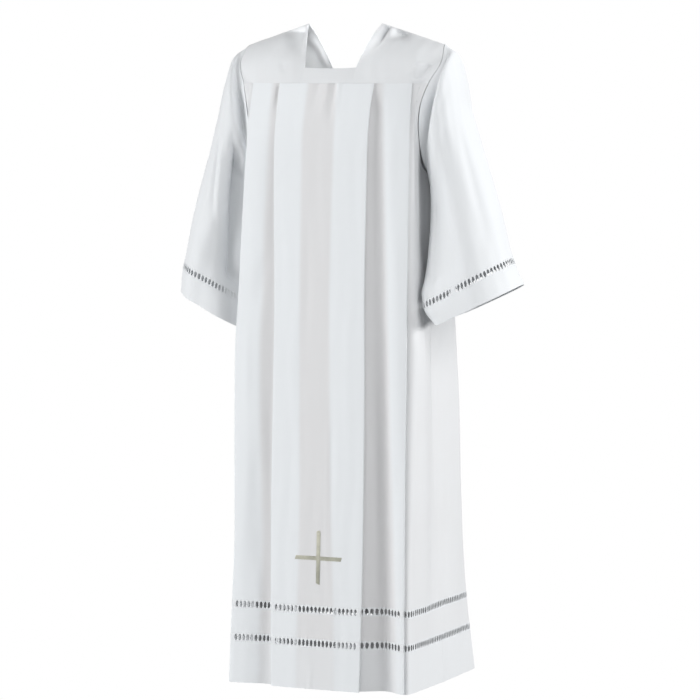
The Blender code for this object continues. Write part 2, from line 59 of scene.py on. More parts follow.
MM = 0.001
Array = np.ndarray
PointsAt = Callable[[Array, Array], Array]
Colour = tuple[float, float, float, float]

# ---- sizes shared by the pieces ----
CLOTH_THICK = 0.9          # thickness of the skirt and the sleeves
YOKE_THICK, OPENWORK_THICK = 1.2, 0.7
ARMHOLE_SEAM = 1.1         # the sleeve starts this far outside the armhole edge
UNDERARM_SEAM = 0.8        # and this much further out under the arm
LAYER = 2.0                # distance between two pressed layers of a pleat
TURN = LAYER / 2           # radius of a fold at the middle of the cloth
HIDDEN_GAP = 0.08          # hidden layers of the pleats lie at this share of their widest gap
BOW = 3.0                  # power of the curve from the middle of a side to its outer fold
CORNER_FALL = 2.0          # the corner's rounding is drawn this far back at its widest
UNDERARM_Z, HEM_Z = -330.0, -1450.0
OPENWORK_TALL = 18.4
OPENWORK_UPPER_Z, OPENWORK_LOWER_Z = -1276.0, -1349.5
OPENWORK_CLOTH = 0.72      # share of an openwork band that is thread
BORDER_OFF = OPENWORK_TALL / 2 + 0.9       # the hemstitches lie this far above and below a band's middle
HOLE_PITCH, GAP_WIDE, HOLE_TALL = 9.4, 6.7, 14.8
SPANS = 11                 # spans of half a pleated section, from its middle to the side seam
# Places where the panel ends, and where the outer strip starts and ends.
PANEL_END, STRIP_START, STRIP_END = 2, 3, 6
SHOULDER_TIP, FRONT_SEAM, UNDERARM, BACK_SEAM, FULL_TURN = 0, 2, 6, 10, 12
AROUND = 50.0              # creases of a sleeve are placed by this many millimetres for a step of turn
CUFF_TOP, CUFF_BOTTOM, CUFF_HEM = 490.0, 508.4, 549.0
SLEEVE_MIDDLE_Y = 10.0
WELD = 0.00002             # points nearer than this are merged, in metres
# Backing sets the painted see-through light in the cloth's colour: more is brighter, less is the painted
# shade of the dark inside.
PLAIN_BACKING = 0.6        # backing of a sheet that is given none of its own, from 0 to 1
THREAD_BACKING = 0.8       # the same for the threads of the openwork
HEMSTITCH_PITCH, HEMSTITCH_LONG = HOLE_PITCH / 2, HOLE_PITCH * 0.36
SMOOTH_ANGLE = math.radians(52)     # edges sharper than this stay sharp
TINY = 1e-9


class Side(Enum):
    """Front or back of the robe."""

    FRONT = "front"
    BACK = "back"

    @property
    def outward(self) -> float:
        """Sign of the way out along Y."""
        return -1.0 if self is Side.FRONT else 1.0


class Hand(Enum):
    """The wearer's left (+X) or right (-X)."""

    LEFT = "left"
    RIGHT = "right"

    @property
    def sign(self) -> float:
        """Sign of that side along X."""
        return 1.0 if self is Hand.LEFT else -1.0


class Zone(Enum):
    """Stretch of the cloth that a crease lies on."""

    PANEL = "panel"
    STRIP = "strip"
    FLANK = "flank"
    SLEEVE = "sleeve"
    YOKE = "yoke"


YOKE_Z = {Side.FRONT: -130.0, Side.BACK: -150.0}                   # the yoke's lower seam
NECK_CORNER = {Side.FRONT: (61.0, -80.0, -96.0), Side.BACK: (61.0, 70.0, -98.0)}
SEAM_TURN = {Side.FRONT: FRONT_SEAM, Side.BACK: BACK_SEAM}         # where that seam meets the armhole


# ---- tables of the cut ----
@dataclass(frozen=True)
class BodyRow:
    """One level section of the pleated body; _l is the wearer's left half and _r the right."""

    z: float
    mid: float
    edge: float
    fold_l: float
    fold_r: float
    panel_l: float
    panel_r: float
    inner_l: float
    inner_r: float
    recess: float
    under_l: float
    under_r: float
    slack: float
    corner_x: float
    corner_out: float


@dataclass(frozen=True)
class SideSeam:
    """Where front and back meet below the armhole."""

    z: float
    x: float
    y: float


@dataclass(frozen=True)
class Ring:
    """One ring of a sleeve, "along" from the shoulder tip on the outer side."""

    along: float
    inner_x: float
    inner_z: float
    outer_x: float
    outer_z: float
    front: float
    back: float
    square: float


FRONT_ROWS = (
    BodyRow(-130, 105, 75, 187, 189, 110, 112, 27, 42, 0.5, 45, 45, 0.5, 204, 60.5),
    BodyRow(-180, 112, 86, 188, 191, 105, 115, 26, 46, 3.0, 45, 45, 2.0, 199, 77),
    BodyRow(-240, 118, 96, 190, 193, 102, 118, 25, 50, 7.0, 44, 45, 4.0, 199, 82),
    BodyRow(-330, 121, 104, 192, 197, 101, 118, 23, 51, 11, 43, 45, 6.0, 201, 84),
    BodyRow(-480, 126, 113, 194, 202, 100, 115, 20, 51, 16, 40, 46, 8.0, 204, 86),
    BodyRow(-600, 130, 119, 195, 206, 100, 112, 19, 51, 20, 36, 48, 10, 207, 90),
    BodyRow(-700, 134, 124, 196, 211, 102, 112, 21, 50, 23, 32, 50, 11, 213, 94),
    BodyRow(-830, 139, 131, 197, 210, 104, 112, 24, 48, 26, 28, 50, 13, 213, 100),
    BodyRow(-1040, 148, 141, 199, 206, 106, 112, 30, 44, 30, 20, 52, 15, 213, 108),
    BodyRow(-1140, 152, 146, 200, 204, 106, 111, 35, 44, 32, 16, 53, 16, 212, 112),
    BodyRow(-1250, 157, 151, 201, 207, 106, 109, 40, 45, 34, 12, 55, 17, 213, 116),
    BodyRow(-1450, 166, 160, 204, 212, 104, 105, 46, 46, 36, 9, 57, 18, 216, 124),
)
BACK_ROWS = (
    BodyRow(-150, 88, 72, 187, 187, 109, 109, 38, 38, 0.5, 45, 45, 0.5, 206, 62.5),
    BodyRow(-190, 99, 84, 188, 188, 108, 108, 38, 38, 3.0, 45, 45, 2.0, 200, 75),
    BodyRow(-240, 108, 94, 190, 190, 107, 107, 39, 39, 6.0, 45, 45, 4.0, 200, 82),
    BodyRow(-330, 119, 107, 192, 192, 107, 107, 40, 40, 10, 44, 45, 6.0, 202, 92),
    BodyRow(-480, 137, 125, 196, 196, 108, 108, 41, 41, 14, 43, 44, 8.0, 206, 98),
    BodyRow(-600, 153, 141, 200, 200, 109, 109, 42, 42, 17, 42, 43, 10, 208, 112),
    BodyRow(-830, 173, 161, 206, 206, 110, 110, 43, 43, 22, 38, 40, 12, 214, 132),
    BodyRow(-1040, 184, 172, 208, 208, 110, 110, 44, 44, 25, 34, 37, 14, 215, 142),
    BodyRow(-1250, 207, 195, 210, 210, 111, 111, 45, 45, 28, 30, 34, 15, 217, 163),
    BodyRow(-1450, 242, 230, 219, 219, 112, 112, 46, 46, 30, 28, 32, 16, 224, 196),
)
SIDE_SEAM = (
    SideSeam(-330, 202, 6),
    SideSeam(-480, 206, 10),
    SideSeam(-600, 208, 15),
    SideSeam(-830, 213, 20),
    SideSeam(-1040, 216, 24),
    SideSeam(-1250, 219, 28),
    SideSeam(-1450, 223, 30),
)
# Twelve points round the armhole seam, from the shoulder tip down the front and up the back.
ARMHOLE = np.array((
    (233, 8, -46), (239, -32, -86), (220, -56, -130), (206, -70, -180), (200, -64, -240), (200, -38, -300),
    (202, 6, -330), (202, 46, -300), (203, 70, -240), (208, 72, -190), (220, 60, -150), (238, 38, -92),
), float)
RINGS = {
    Hand.LEFT: (
        Ring(30, 207, -341, 258, -62, -76, 84, 2.0),
        Ring(80, 210, -366, 274, -110, -78, 90, 2.0),
        Ring(155, 211, -406, 287, -185, -78, 96, 2.0),
        Ring(225, 212, -452, 308, -250, -80, 101, 2.7),
        Ring(298, 212, -503, 331, -318, -86, 105, 3.8),
        Ring(390, 213, -553, 359, -405, -95, 108, 5.0),
        Ring(490, 213, -592, 386, -505, -104, 110, 5.5),
        Ring(508.4, 217, -609, 392, -522, -105, 110, 5.5),
        Ring(549, 242, -643, 411, -565, -106, 111, 4.5),
    ),
    Hand.RIGHT: (
        Ring(30, 207, -341, 258, -64, -78, 84, 2.0),
        Ring(80, 210, -368, 277, -112, -82, 90, 2.0),
        Ring(155, 211, -411, 296, -190, -84, 97, 2.0),
        Ring(225, 212, -461, 314, -259, -85, 102, 2.1),
        Ring(298, 212, -517, 337, -332, -87, 105, 2.2),
        Ring(390, 213, -572, 364, -424, -89, 108, 2.3),
        Ring(490, 213, -612, 387, -527, -91, 110, 2.4),
        Ring(508.4, 215, -629, 391, -545, -92, 111, 2.4),
        Ring(549, 221, -686, 396, -596, -93, 112, 2.4),
    ),
}
CUFF_PITCH = {Hand.LEFT: 0.127, Hand.RIGHT: -0.134}

# ---- creases ----
def ramp(value: Array) -> Array:
    """Smooth step from 0 at 0 to 1 at 1."""
    part = np.clip(value, 0.0, 1.0)
    return part * part * (3 - 2 * part)


def fade_in(share: Array, over: float) -> Array:
    """Rise from 0 at share 0 to 1 at share "over", or at once where that is 0."""
    return ramp(share / over) if over else np.where(share >= 0, 1.0, 0.0)


@dataclass(frozen=True)
class Crease:
    """Soft ridge (lift above 0) or trough along a straight line on one zone of the cloth.

    Start and end are (across, down): across is X on a panel, strip or yoke, Y on a flank and
    AROUND times turn on a sleeve; down is z on the body and the yoke and "along" on a sleeve.
    """

    zone: Zone
    start: tuple[float, float]
    end: tuple[float, float]
    widths: tuple[float, float]
    lifts: tuple[float, float]
    fades: tuple[float, float]

    def height(self, across: Array, down: Array) -> Array:
        """Height of the crease over the plain cloth.

        Args:
            across: distances across the cloth.
            down: heights or distances along it.

        Returns:
            The lift at each place.
        """
        share = (down - self.start[1]) / (self.end[1] - self.start[1])
        part = np.clip(share, 0.0, 1.0)
        middle, width, lift = (first + (last - first) * part for first, last in (
            (self.start[0], self.end[0]), self.widths, self.lifts))
        ends = fade_in(share, self.fades[0]) * fade_in(1 - share, self.fades[1])
        return lift * np.exp(-((across - middle) / width) ** 2) * ends


def creases(zone: Zone, *rows: Sequence[float]) -> tuple[Crease, ...]:
    """Creases of one zone; a row holds start, end, widths, lifts and fades, two numbers each."""
    return tuple(Crease(zone, *(tuple(row[n:n + 2]) for n in range(0, len(row), 2))) for row in rows)


@dataclass(frozen=True)
class Ripple:
    """Faint long waves that no hanging cloth is without, the same on every run."""

    lift: float
    across: tuple[float, float, float] = (31.0, 47.0, 83.0)
    down: tuple[float, float, float] = (410.0, 670.0, 930.0)
    start: tuple[float, float, float] = (0.4, 2.1, 4.4)
    sway: float = 1.3           # how far the waves wander on their way down, radians

    def height(self, across: Array, down: Array) -> Array:
        """Height of the waves at each place."""
        total = np.zeros(len(across))
        for wide, tall, start in zip(self.across, self.down, self.start):
            bend = self.sway * np.sin(2 * math.pi * down / tall + start)
            total += np.sin(2 * math.pi * across / wide + bend + start)
        return total * self.lift / len(self.across)


# Each zone of the body: the axis that its creases' places across are measured on, and its ripples' lift.
BODY_ZONES = {Zone.PANEL: (0, 0.55), Zone.STRIP: (0, 0.55), Zone.FLANK: (1, 0.9)}
# The wearer's left flank, then the right; Y is moved 1000 mm to the side it lies on.
BODY_CREASES = creases(Zone.FLANK,
    (930, -560, 936, -1400, 22, 27, 6.0, 4.5, 0.2, 0.35),
    (1030, -560, 1040, -1400, 44, 56, -17.0, -14.0, 0.2, 0.35),
    (1004, -760, 992, -1320, 13, 18, -1.8, -2.6, 0.3, 0.3),
    (962, -240, 964, -560, 20, 26, -6.0, -10.0, 0.3, 0.3),
    (-1056, -660, -1048, -1400, 28, 34, 3.0, 3.0, 0.2, 0.35),
    (-938, -600, -950, -1400, 44, 56, -9.0, -9.0, 0.2, 0.35))
FRONT_CREASES = (BODY_CREASES + creases(Zone.PANEL,
        (20, -830, 25, -1262, 4.5, 5.5, 1.1, 0.9, 0.2, 0.3),
        (32, -640, 33, -1180, 6.0, 7.0, -0.8, -0.7, 0.3, 0.3),
        (-34, -300, -30, -900, 9.0, 10.0, -0.9, -0.7, 0.4, 0.4),
        (62, -420, 70, -1100, 16.0, 18.0, 1.2, 1.0, 0.4, 0.4),
        (-74, -260, -70, -980, 15.0, 17.0, 0.9, 1.2, 0.4, 0.4),
        (-18, -128, -28, -204, 8.0, 10.0, -4.0, -2.0, 0.0, 0.6),
        (6, -128, -8, -224, 5.0, 7.0, 4.0, 1.8, 0.0, 0.6),
        (20, -128, 12, -232, 5.0, 6.0, -4.0, -1.8, 0.0, 0.6),
        (33, -128, 26, -214, 4.0, 6.0, 3.4, 1.4, 0.0, 0.6),
        (-13, -1452, -9, -1385, 4.0, 6.0, 1.6, 0.8, 0.0, 0.6)) + creases(Zone.STRIP,
        (-117, -131, -122, -206, 6, 8, -7.0, -3.0, 0.1, 0.5),
        (116, -134, 150, -1455, 20, 40, -8.0, -33.0, 0.05, 0.0),
        (168, -300, 176, -1050, 13, 15, 2.0, 2.6, 0.3, 0.3),
        (146, -560, 150, -700, 9, 11, 1.8, 1.6, 0.5, 0.5),
        (-124, -180, -128, -1455, 24, 38, -4.0, -13.0, 0.1, 0.0),
        (-178, -170, -166, -560, 17, 15, 2.2, 1.6, 0.3, 0.4),
        (-140, -480, -158, -640, 13, 17, -3.2, -2.4, 0.4, 0.4),
        (-182, -640, -178, -880, 9, 11, 2.0, 1.8, 0.4, 0.5),
        (-158, -900, -150, -1240, 14, 18, -2.2, -2.6, 0.3, 0.3)))
BACK_CREASES = (BODY_CREASES + creases(Zone.PANEL,
        (-22, -420, -14, -1120, 8.0, 11.0, 1.6, 1.4, 0.3, 0.3),
        (38, -620, 46, -1300, 12.0, 14.0, -1.8, -2.2, 0.3, 0.3),
        (-76, -260, -68, -900, 14.0, 17.0, 1.2, 1.6, 0.4, 0.4),
        (80, -300, 76, -860, 13.0, 15.0, 1.4, 1.2, 0.4, 0.4),
        (14, -148, 8, -260, 5.0, 8.0, 1.2, 0.7, 0.0, 0.6)) + creases(Zone.STRIP,
        (120, -170, 132, -1455, 16, 30, -1.0, -10.0, 0.0, 0.0),
        (-120, -170, -130, -1455, 16, 28, -1.0, -9.0, 0.0, 0.0),
        (182, -360, 186, -980, 13, 15, 2.2, 2.6, 0.3, 0.3),
        (-180, -420, -190, -1100, 12, 16, 2.4, 2.2, 0.3, 0.3)))
SLEEVE_CREASES = {
    Hand.LEFT: creases(Zone.SLEEVE,
        (180, 110, 156, 560, 30, 46, -8.0, -18.0, 0.3, 0.3),
        (127, 120, 112, 560, 12, 15, 1.6, 2.6, 0.3, 0.0),
        (58, 150, 62, 470, 11, 14, -1.6, -2.2, 0.3, 0.2),
        (88, 90, 84, 400, 12, 14, 1.4, 1.8, 0.3, 0.3),
        (30, 200, 24, 540, 14, 18, 1.6, 2.4, 0.3, 0.1),
        (244, 40, 236, 420, 26, 30, -5.0, -5.0, 0.2, 0.3),
        (452, 120, 470, 540, 20, 30, -2.5, -6.0, 0.3, 0.0),
        (528, 100, 520, 480, 14, 20, 2.0, 3.0, 0.3, 0.2),
        (575, 160, 566, 520, 12, 16, -1.8, -2.6, 0.3, 0.2)),
    Hand.RIGHT: creases(Zone.SLEEVE,
        (96, 130, 140, 345, 8, 11, -5.0, -5.5, 0.25, 0.35),
        (126, 120, 158, 335, 10, 9, 3.4, 5.0, 0.3, 0.3),
        (206, 20, 210, 560, 30, 60, -32.0, -54.0, 0.15, 0.3),
        (148, 330, 140, 560, 18, 20, -2.0, -3.4, 0.3, 0.0),
        (112, 360, 108, 560, 14, 16, 2.4, 3.0, 0.3, 0.0),
        (60, 120, 70, 420, 12, 15, 1.4, 2.0, 0.3, 0.3),
        (24, 180, 30, 520, 12, 17, -1.8, -2.8, 0.3, 0.2),
        (460, 140, 476, 540, 22, 30, -3.0, -6.0, 0.3, 0.0),
        (534, 100, 524, 460, 14, 20, 2.0, 2.8, 0.3, 0.2)),
}
# A yoke's creases are placed by z, which is 0 at the neck points.
YOKE_CREASES = {
    Side.FRONT: creases(Zone.YOKE,
        (101, -2, 95, -62, 7, 9, -17.0, -8.0, 0.05, 0.6),
        (113, -2, 116, -52, 6, 9, 7.0, 3.0, 0.05, 0.6),
        (129, -6, 144, -48, 12, 18, -17.0, -6.0, 0.05, 0.6),
        (-98, -6, -94, -86, 30, 24, -12.0, -6.0, 0.1, 0.6),
        (-134, -22, -118, -70, 14, 18, 3.0, 2.0, 0.3, 0.5),
        (-118, -84, -110, -112, 10, 8, -2.4, -1.4, 0.4, 0.4),
        (218, -88, 196, -126, 7, 7, -6.0, -5.0, 0.2, 0.3),
        (206, -86, 180, -118, 8, 8, 3.4, 2.4, 0.3, 0.4),
        (188, -96, 192, -128, 5, 6, -3.6, -3.0, 0.3, 0.3)),
    Side.BACK: creases(Zone.YOKE,
        (100, -24, 80, -120, 14, 20, -3.0, -1.5, 0.25, 0.5),
        (-96, -24, -70, -118, 15, 20, -3.5, -1.5, 0.25, 0.5),
        (150, -40, 120, -130, 16, 20, 1.8, 1.2, 0.3, 0.5)),
}


# ---- curves and surfaces ----
class SmoothCurve:
    """Smooth curve through rising knots; each knot holds a row of numbers."""

    def __init__(self, knots: Sequence[float], values: Array) -> None:
        """Keep the knots and work out a tangent at each."""
        self.knots = np.asarray(knots, float)
        self.values = np.asarray(values, float)
        steps = np.diff(self.knots).reshape((-1,) + (1,) * (self.values.ndim - 1))
        slopes = np.diff(self.values, axis=0) / steps
        inner = (steps[1:] * slopes[:-1] + steps[:-1] * slopes[1:]) / (steps[:-1] + steps[1:])
        self.tangents = np.concatenate([slopes[:1], inner, slopes[-1:]])

    def at(self, where: Array, column: Array | None = None) -> Array:
        """Values at many places.

        Args:
            where: places along the knots.
            column: where each place has curves of its own, the number of its curve.

        Returns:
            One row of numbers for each place.
        """
        where = np.atleast_1d(np.asarray(where, float))
        k = np.clip(np.searchsorted(self.knots, where, side="right") - 1, 0, len(self.knots) - 2)
        step = (self.knots[k + 1] - self.knots[k])[:, None]
        t = (where[:, None] - self.knots[k][:, None]) / step
        here, there = (k, k + 1) if column is None else ((k, column), (k + 1, column))
        return ((2 * t ** 3 - 3 * t ** 2 + 1) * self.values[here]
                + (t ** 3 - 2 * t ** 2 + t) * step * self.tangents[here]
                + (3 * t ** 2 - 2 * t ** 3) * self.values[there]
                + (t ** 3 - t ** 2) * step * self.tangents[there])


# The points are repeated past both ends, so that the curve closes smoothly.
ARMHOLE_CURVE = SmoothCurve(range(-2, FULL_TURN + 3), ARMHOLE[np.arange(-2, FULL_TURN + 3) % FULL_TURN])


def armhole(turn: Array) -> Array:
    """Points of the armhole seam; turn runs from 0 at the shoulder tip to 12, by way of the front."""
    return ARMHOLE_CURVE.at(np.asarray(turn, float) % FULL_TURN)


def outward_normals(points_at: PointsAt, first: Array, second: Array, reach: tuple[float, float],
                    level: bool) -> Array:
    """Normals of a surface at many places.

    Args:
        points_at: the surface.
        first: first coordinate of each place.
        second: second coordinate of each place.
        reach: half the step taken in each coordinate.
        level: whether the normals are kept level.

    Returns:
        One unit vector a place, along first x second.
    """
    across = points_at(first + reach[0], second) - points_at(first - reach[0], second)
    if level:
        down = np.tile((0.0, 0.0, 1.0), (len(across), 1))
    else:
        down = points_at(first, second + reach[1]) - points_at(first, second - reach[1])
    return unit(np.cross(across, down))


def unit(vectors: Array) -> Array:
    """Vectors of length 1."""
    return vectors / np.maximum(np.linalg.norm(vectors, axis=1, keepdims=True), TINY)


def path_lengths(points: Array) -> Array:
    """Distance along a path from its first point to each."""
    return np.concatenate([[0.0], np.cumsum(np.linalg.norm(np.diff(points, axis=0), axis=1))])


@dataclass
class BodySurface:
    """The pleated front or back: place runs from 0 at the middle to 11 at the side."""

    side: Side
    creases: Sequence[Crease]
    rear_slack: float = 0.35    # share of the slack left in the layer that runs on to the corner
    seam_out: float = 0.1       # the cloth ends this far outside the line of the side seam
    reach: tuple[float, float] = (0.004, 1.0)       # half the steps that normals are taken over
    margin: float = 0.0045      # normals are taken no nearer to the side seam than this
    layers_end: float = 9.6     # place where the creases of the pressed layers have faded out
    flank_start: float = 9.15   # place where those of the flank fade in
    fade: float = 0.6           # places that either takes for it
    flank_move: float = 1000.0  # Y is moved this far to the side that a flank lies on
    # Where backing, which paints see-through light into the cloth's colour, begins before a hidden layer's
    # edge, and over what width: panel, then outer strip.
    panel_edge: tuple[float, float] = (6.0, 12.0)
    strip_edge: tuple[float, float] = (20.0, 18.0)
    # All other cloth gets this much of the painted see-through light.
    lone_backing: float = 0.35  # backing of all other cloth
    samples: int = 300

    def __post_init__(self) -> None:
        """Set up the section curves."""
        rows = FRONT_ROWS if self.side is Side.FRONT else BACK_ROWS
        table = np.array([astuple(row) for row in rows], float)
        self.low, self.high = -table[0, 0], -table[-1, 0]
        self.sections = SmoothCurve(-table[:, 0], table)
        seam = np.array([astuple(row) for row in SIDE_SEAM], float)
        self.seam = SmoothCurve(-seam[:, 0], seam)
        edge = armhole(np.linspace(*sorted((SEAM_TURN[self.side], UNDERARM)), self.samples))
        self.arm_edge = edge[np.argsort(edge[:, 2])]

    def section(self, z: Array) -> dict[str, Array]:
        """Every size of the section at each height."""
        values = self.sections.at(np.clip(-z, self.low, self.high))
        return {item.name: values[:, n] for n, item in enumerate(fields(BodyRow))}

    def halves(self, row: dict[str, Array], left: Array, *names: str) -> list[Array]:
        """Sizes of the half that each place lies on."""
        return [np.where(left, row[f"{name}_l"], row[f"{name}_r"]) for name in names]

    def side_end(self, z: Array) -> tuple[Array, Array]:
        """Where a half section ends, as distance across and distance out."""
        seam = self.seam.at(np.clip(-z, -UNDERARM_Z, -HEM_Z))
        edge = self.arm_edge
        above = z >= UNDERARM_Z
        across, y = (np.where(above, np.interp(z, edge[:, 2], edge[:, axis]), seam[:, axis + 1])
                     for axis in (0, 1))
        return across, y * self.side.outward + self.seam_out

    def plain(self, place: Array, z: Array) -> Array:
        """Middle of the pressed cloth without its creases."""
        row = self.section(z)
        left = place >= 0
        fold, panel, inner, tuck = self.halves(row, left, "fold", "panel", "inner", "under")
        under = fold - tuck
        away = np.abs(place)
        span = np.minimum(away.astype(int), SPANS - 1)
        part = away - span
        rest = 1 - part
        swing, roll = TURN * np.sin(math.pi * part), TURN * (1 - np.cos(math.pi * part))
        recess, slack = row["recess"] * HIDDEN_GAP, row["slack"]
        under_slack = slack * (np.where(left, 1.0, HIDDEN_GAP) if self.side is Side.FRONT else HIDDEN_GAP)

        def out_of(across: Array, depth: Array) -> Array:
            """Distance out of a layer at some depth behind the outermost."""
            return row["mid"] - (row["mid"] - row["edge"]) * (across / fold) ** BOW - depth

        end_x, end_out = self.side_end(z)
        corner_x, corner_out = row["corner_x"], row["corner_out"]
        behind = out_of(fold, 4 * LAYER + self.rear_slack * slack * HIDDEN_GAP)
        start = out_of(under, 4 * LAYER + under_slack)
        pull = behind - CORNER_FALL
        pressed = [(panel * part, 0.0 * part),
                   (panel + swing, roll),
                   (panel + (inner - panel) * part, LAYER + recess * part),
                   (inner - swing, LAYER + recess + roll),
                   (inner + (fold - inner) * part, 2 * LAYER + recess * rest),
                   (fold + swing, 2 * LAYER + roll),
                   (fold + (under - fold) * part, 3 * LAYER + under_slack * part),
                   (under - swing, 3 * LAYER + under_slack + roll)]
        spans = [(across, out_of(across, depth)) for across, depth in pressed]
        spans += [(under + (fold - under) * part, start + (behind - start) * part),
                  (rest ** 2 * fold + (1 - rest ** 2) * corner_x,
                   rest ** 2 * behind + 2 * part * rest * pull + part ** 2 * corner_out),
                  (corner_x + (end_x - corner_x) * part, corner_out + (end_out - corner_out) * part)]
        x, out = (np.choose(span, values) for values in zip(*spans))
        return np.stack([np.where(left, x, -x), out * self.side.outward, z], axis=1)

    def relief(self, place: Array, points: Array) -> tuple[Array, Array]:
        """Height of the creases at each place.

        Args:
            place: places round the body.
            points: the plain cloth there.

        Returns:
            How far they push the pressed layers out together, and how far the flank square to itself.
        """
        away = np.abs(place)
        totals = {zone: Ripple(lift).height(points[:, axis], points[:, 2])
                  for zone, (axis, lift) in BODY_ZONES.items()}
        for crease in self.creases:
            across = points[:, BODY_ZONES[crease.zone][0]]
            if crease.zone is Zone.FLANK:
                across = across + self.flank_move * np.sign(place)
            totals[crease.zone] += crease.height(across, points[:, 2])
        strip = ramp(away - STRIP_START)
        layers = totals[Zone.PANEL] * (1 - strip) + totals[Zone.STRIP] * strip
        return (layers * ramp((self.layers_end - away) / self.fade),
                ramp((away - self.flank_start) / self.fade) * totals[Zone.FLANK])

    def normals(self, place: Array, z: Array) -> Array:
        """Outward normals of the pressed cloth, kept level."""
        limit = SPANS - self.margin
        return outward_normals(self.plain, np.clip(place, -limit, limit), z, self.reach,
                               level=True) * -self.side.outward

    def points(self, place: Array, z: Array) -> Array:
        """Middle of the creased cloth."""
        plain = self.plain(place, z)
        layers, flank = self.relief(place, plain)
        pushed = plain + self.normals(place, z) * flank[:, None]
        pushed[:, 1] += self.side.outward * layers
        return pushed

    def backing(self, place: Array, z: Array) -> Array:
        """1 where a pressed layer lies close behind the cloth, 0 where none lies there; it sets the painted
        see-through light of the cloth's colour.
        """
        x = np.abs(self.plain(place, z)[:, 0])
        inner, fold, tuck = self.halves(self.section(z), place >= 0, "inner", "fold", "under")
        away = np.abs(place)
        behind_panel = ramp((x - inner + self.panel_edge[0]) / self.panel_edge[1])
        behind_strip = ramp((x - (fold - tuck) + self.strip_edge[0]) / self.strip_edge[1])
        strip = (away > STRIP_START) & (away < STRIP_END)
        return np.where(away < PANEL_END, behind_panel, np.where(strip, behind_strip, self.lone_backing))


@dataclass
class SleeveSurface:
    """A wide sleeve: turn as on the armhole, along from the seam to the hem."""

    hand: Hand
    creases: Sequence[Crease]
    ripple: float = 0.8
    edge: float = 40.0          # creases fade in over this from the armhole seam, ripples from the turn's end
    reach: tuple[float, float] = (0.02, 1.0)        # half the steps that normals are taken over
    dip: float = 7.0            # how deep the cloth dips beside the armhole seam
    dip_along: float = 15.0     # distance from the seam to the middle of the dip
    dip_wide: float = 11.0      # half its width
    dip_start: float = 8.0      # it fades in over this distance from the seam
    tip_loss: float = 0.75      # share of the dip that is lost at the shoulder tip
    tip_wide: float = 0.8       # turn over which it is lost
    low_dip: float = 20.0       # added to the dip where the armhole's front is lowest
    low_turn: float = 2.9       # turn of that place
    low_wide: float = 1.0       # turn over which it is added
    back_drop: float = 0.6      # how much of the cuff's slope is lost behind
    back_bend: float = 15.0     # how softly the slope changes there

    def ring_points(self, ring: Ring, angle: Array) -> Array:
        """Points of one ring, whose inner half may be squarer than an ellipse."""
        cosine, sine = np.cos(angle), np.sin(angle)
        flat, power = cosine < 0, 2 / ring.square
        sine = np.where(flat, np.sign(sine) * np.abs(sine) ** power, sine)
        cosine = np.where(flat, -np.abs(cosine) ** power, cosine)
        share = (cosine + 1) / 2
        y = (ring.front + ring.back) / 2 - (ring.back - ring.front) / 2 * sine
        pitch = CUFF_PITCH[self.hand] * ring.along / CUFF_HEM
        past = y - SLEEVE_MIDDLE_Y
        behind = (past + np.hypot(past, self.back_bend) - self.back_bend) / 2
        z = ring.inner_z + (ring.outer_z - ring.inner_z) * share + pitch * (past - self.back_drop * behind)
        return np.stack([ring.inner_x + (ring.outer_x - ring.inner_x) * share, y, z], axis=1)

    def plain(self, turn: Array, along: Array) -> Array:
        """Middle of the sleeve's cloth without its creases."""
        angle = 2 * math.pi * turn / FULL_TURN
        seam = ARMHOLE_SEAM + UNDERARM_SEAM * np.sin(angle / 2) ** 2
        rings = RINGS[self.hand]
        levels = [armhole(turn) + np.stack([seam, 0 * seam, 0 * seam], axis=1)]
        levels += [self.ring_points(ring, angle) for ring in rings]
        curve = SmoothCurve([0.0] + [ring.along for ring in rings], np.array(levels))
        return curve.at(along, np.arange(len(turn))) * np.array((self.hand.sign, 1.0, 1.0))

    def relief(self, turn: Array, along: Array) -> Array:
        """Height of the creases at each place."""
        total = np.zeros(len(turn))
        around = (turn % FULL_TURN) * AROUND
        for crease in self.creases:
            total += crease.height(around, along)
        inside = ramp(around / self.edge) * ramp((FULL_TURN * AROUND - around) / self.edge)
        return total + inside * Ripple(self.ripple).height(around, along)

    def normals(self, turn: Array, along: Array) -> Array:
        """Outward normals of the plain sleeve."""
        step = self.reach[1]
        return outward_normals(self.plain, turn, np.clip(along, step, CUFF_HEM - step), self.reach,
                               level=False) * self.hand.sign

    def points(self, turn: Array, along: Array) -> Array:
        """Middle of the creased cloth, whose creases fade in from the dip beside the armhole seam."""
        place, before = turn % FULL_TURN, -turn % FULL_TURN
        low = np.exp(-((place - self.low_turn) / self.low_wide) ** 2)
        tip = np.exp(-(np.minimum(place, before) / self.tip_wide) ** 2)
        depth = self.dip * (1 - self.tip_loss * tip) + self.low_dip * low
        dip = depth * np.exp(-((along - self.dip_along) / self.dip_wide) ** 2) * ramp(along / self.dip_start)
        lift = self.relief(turn, along) * ramp(along / self.edge) - dip
        return self.plain(turn, along) + self.normals(turn, along) * lift[:, None]


Surface = BodySurface | SleeveSurface


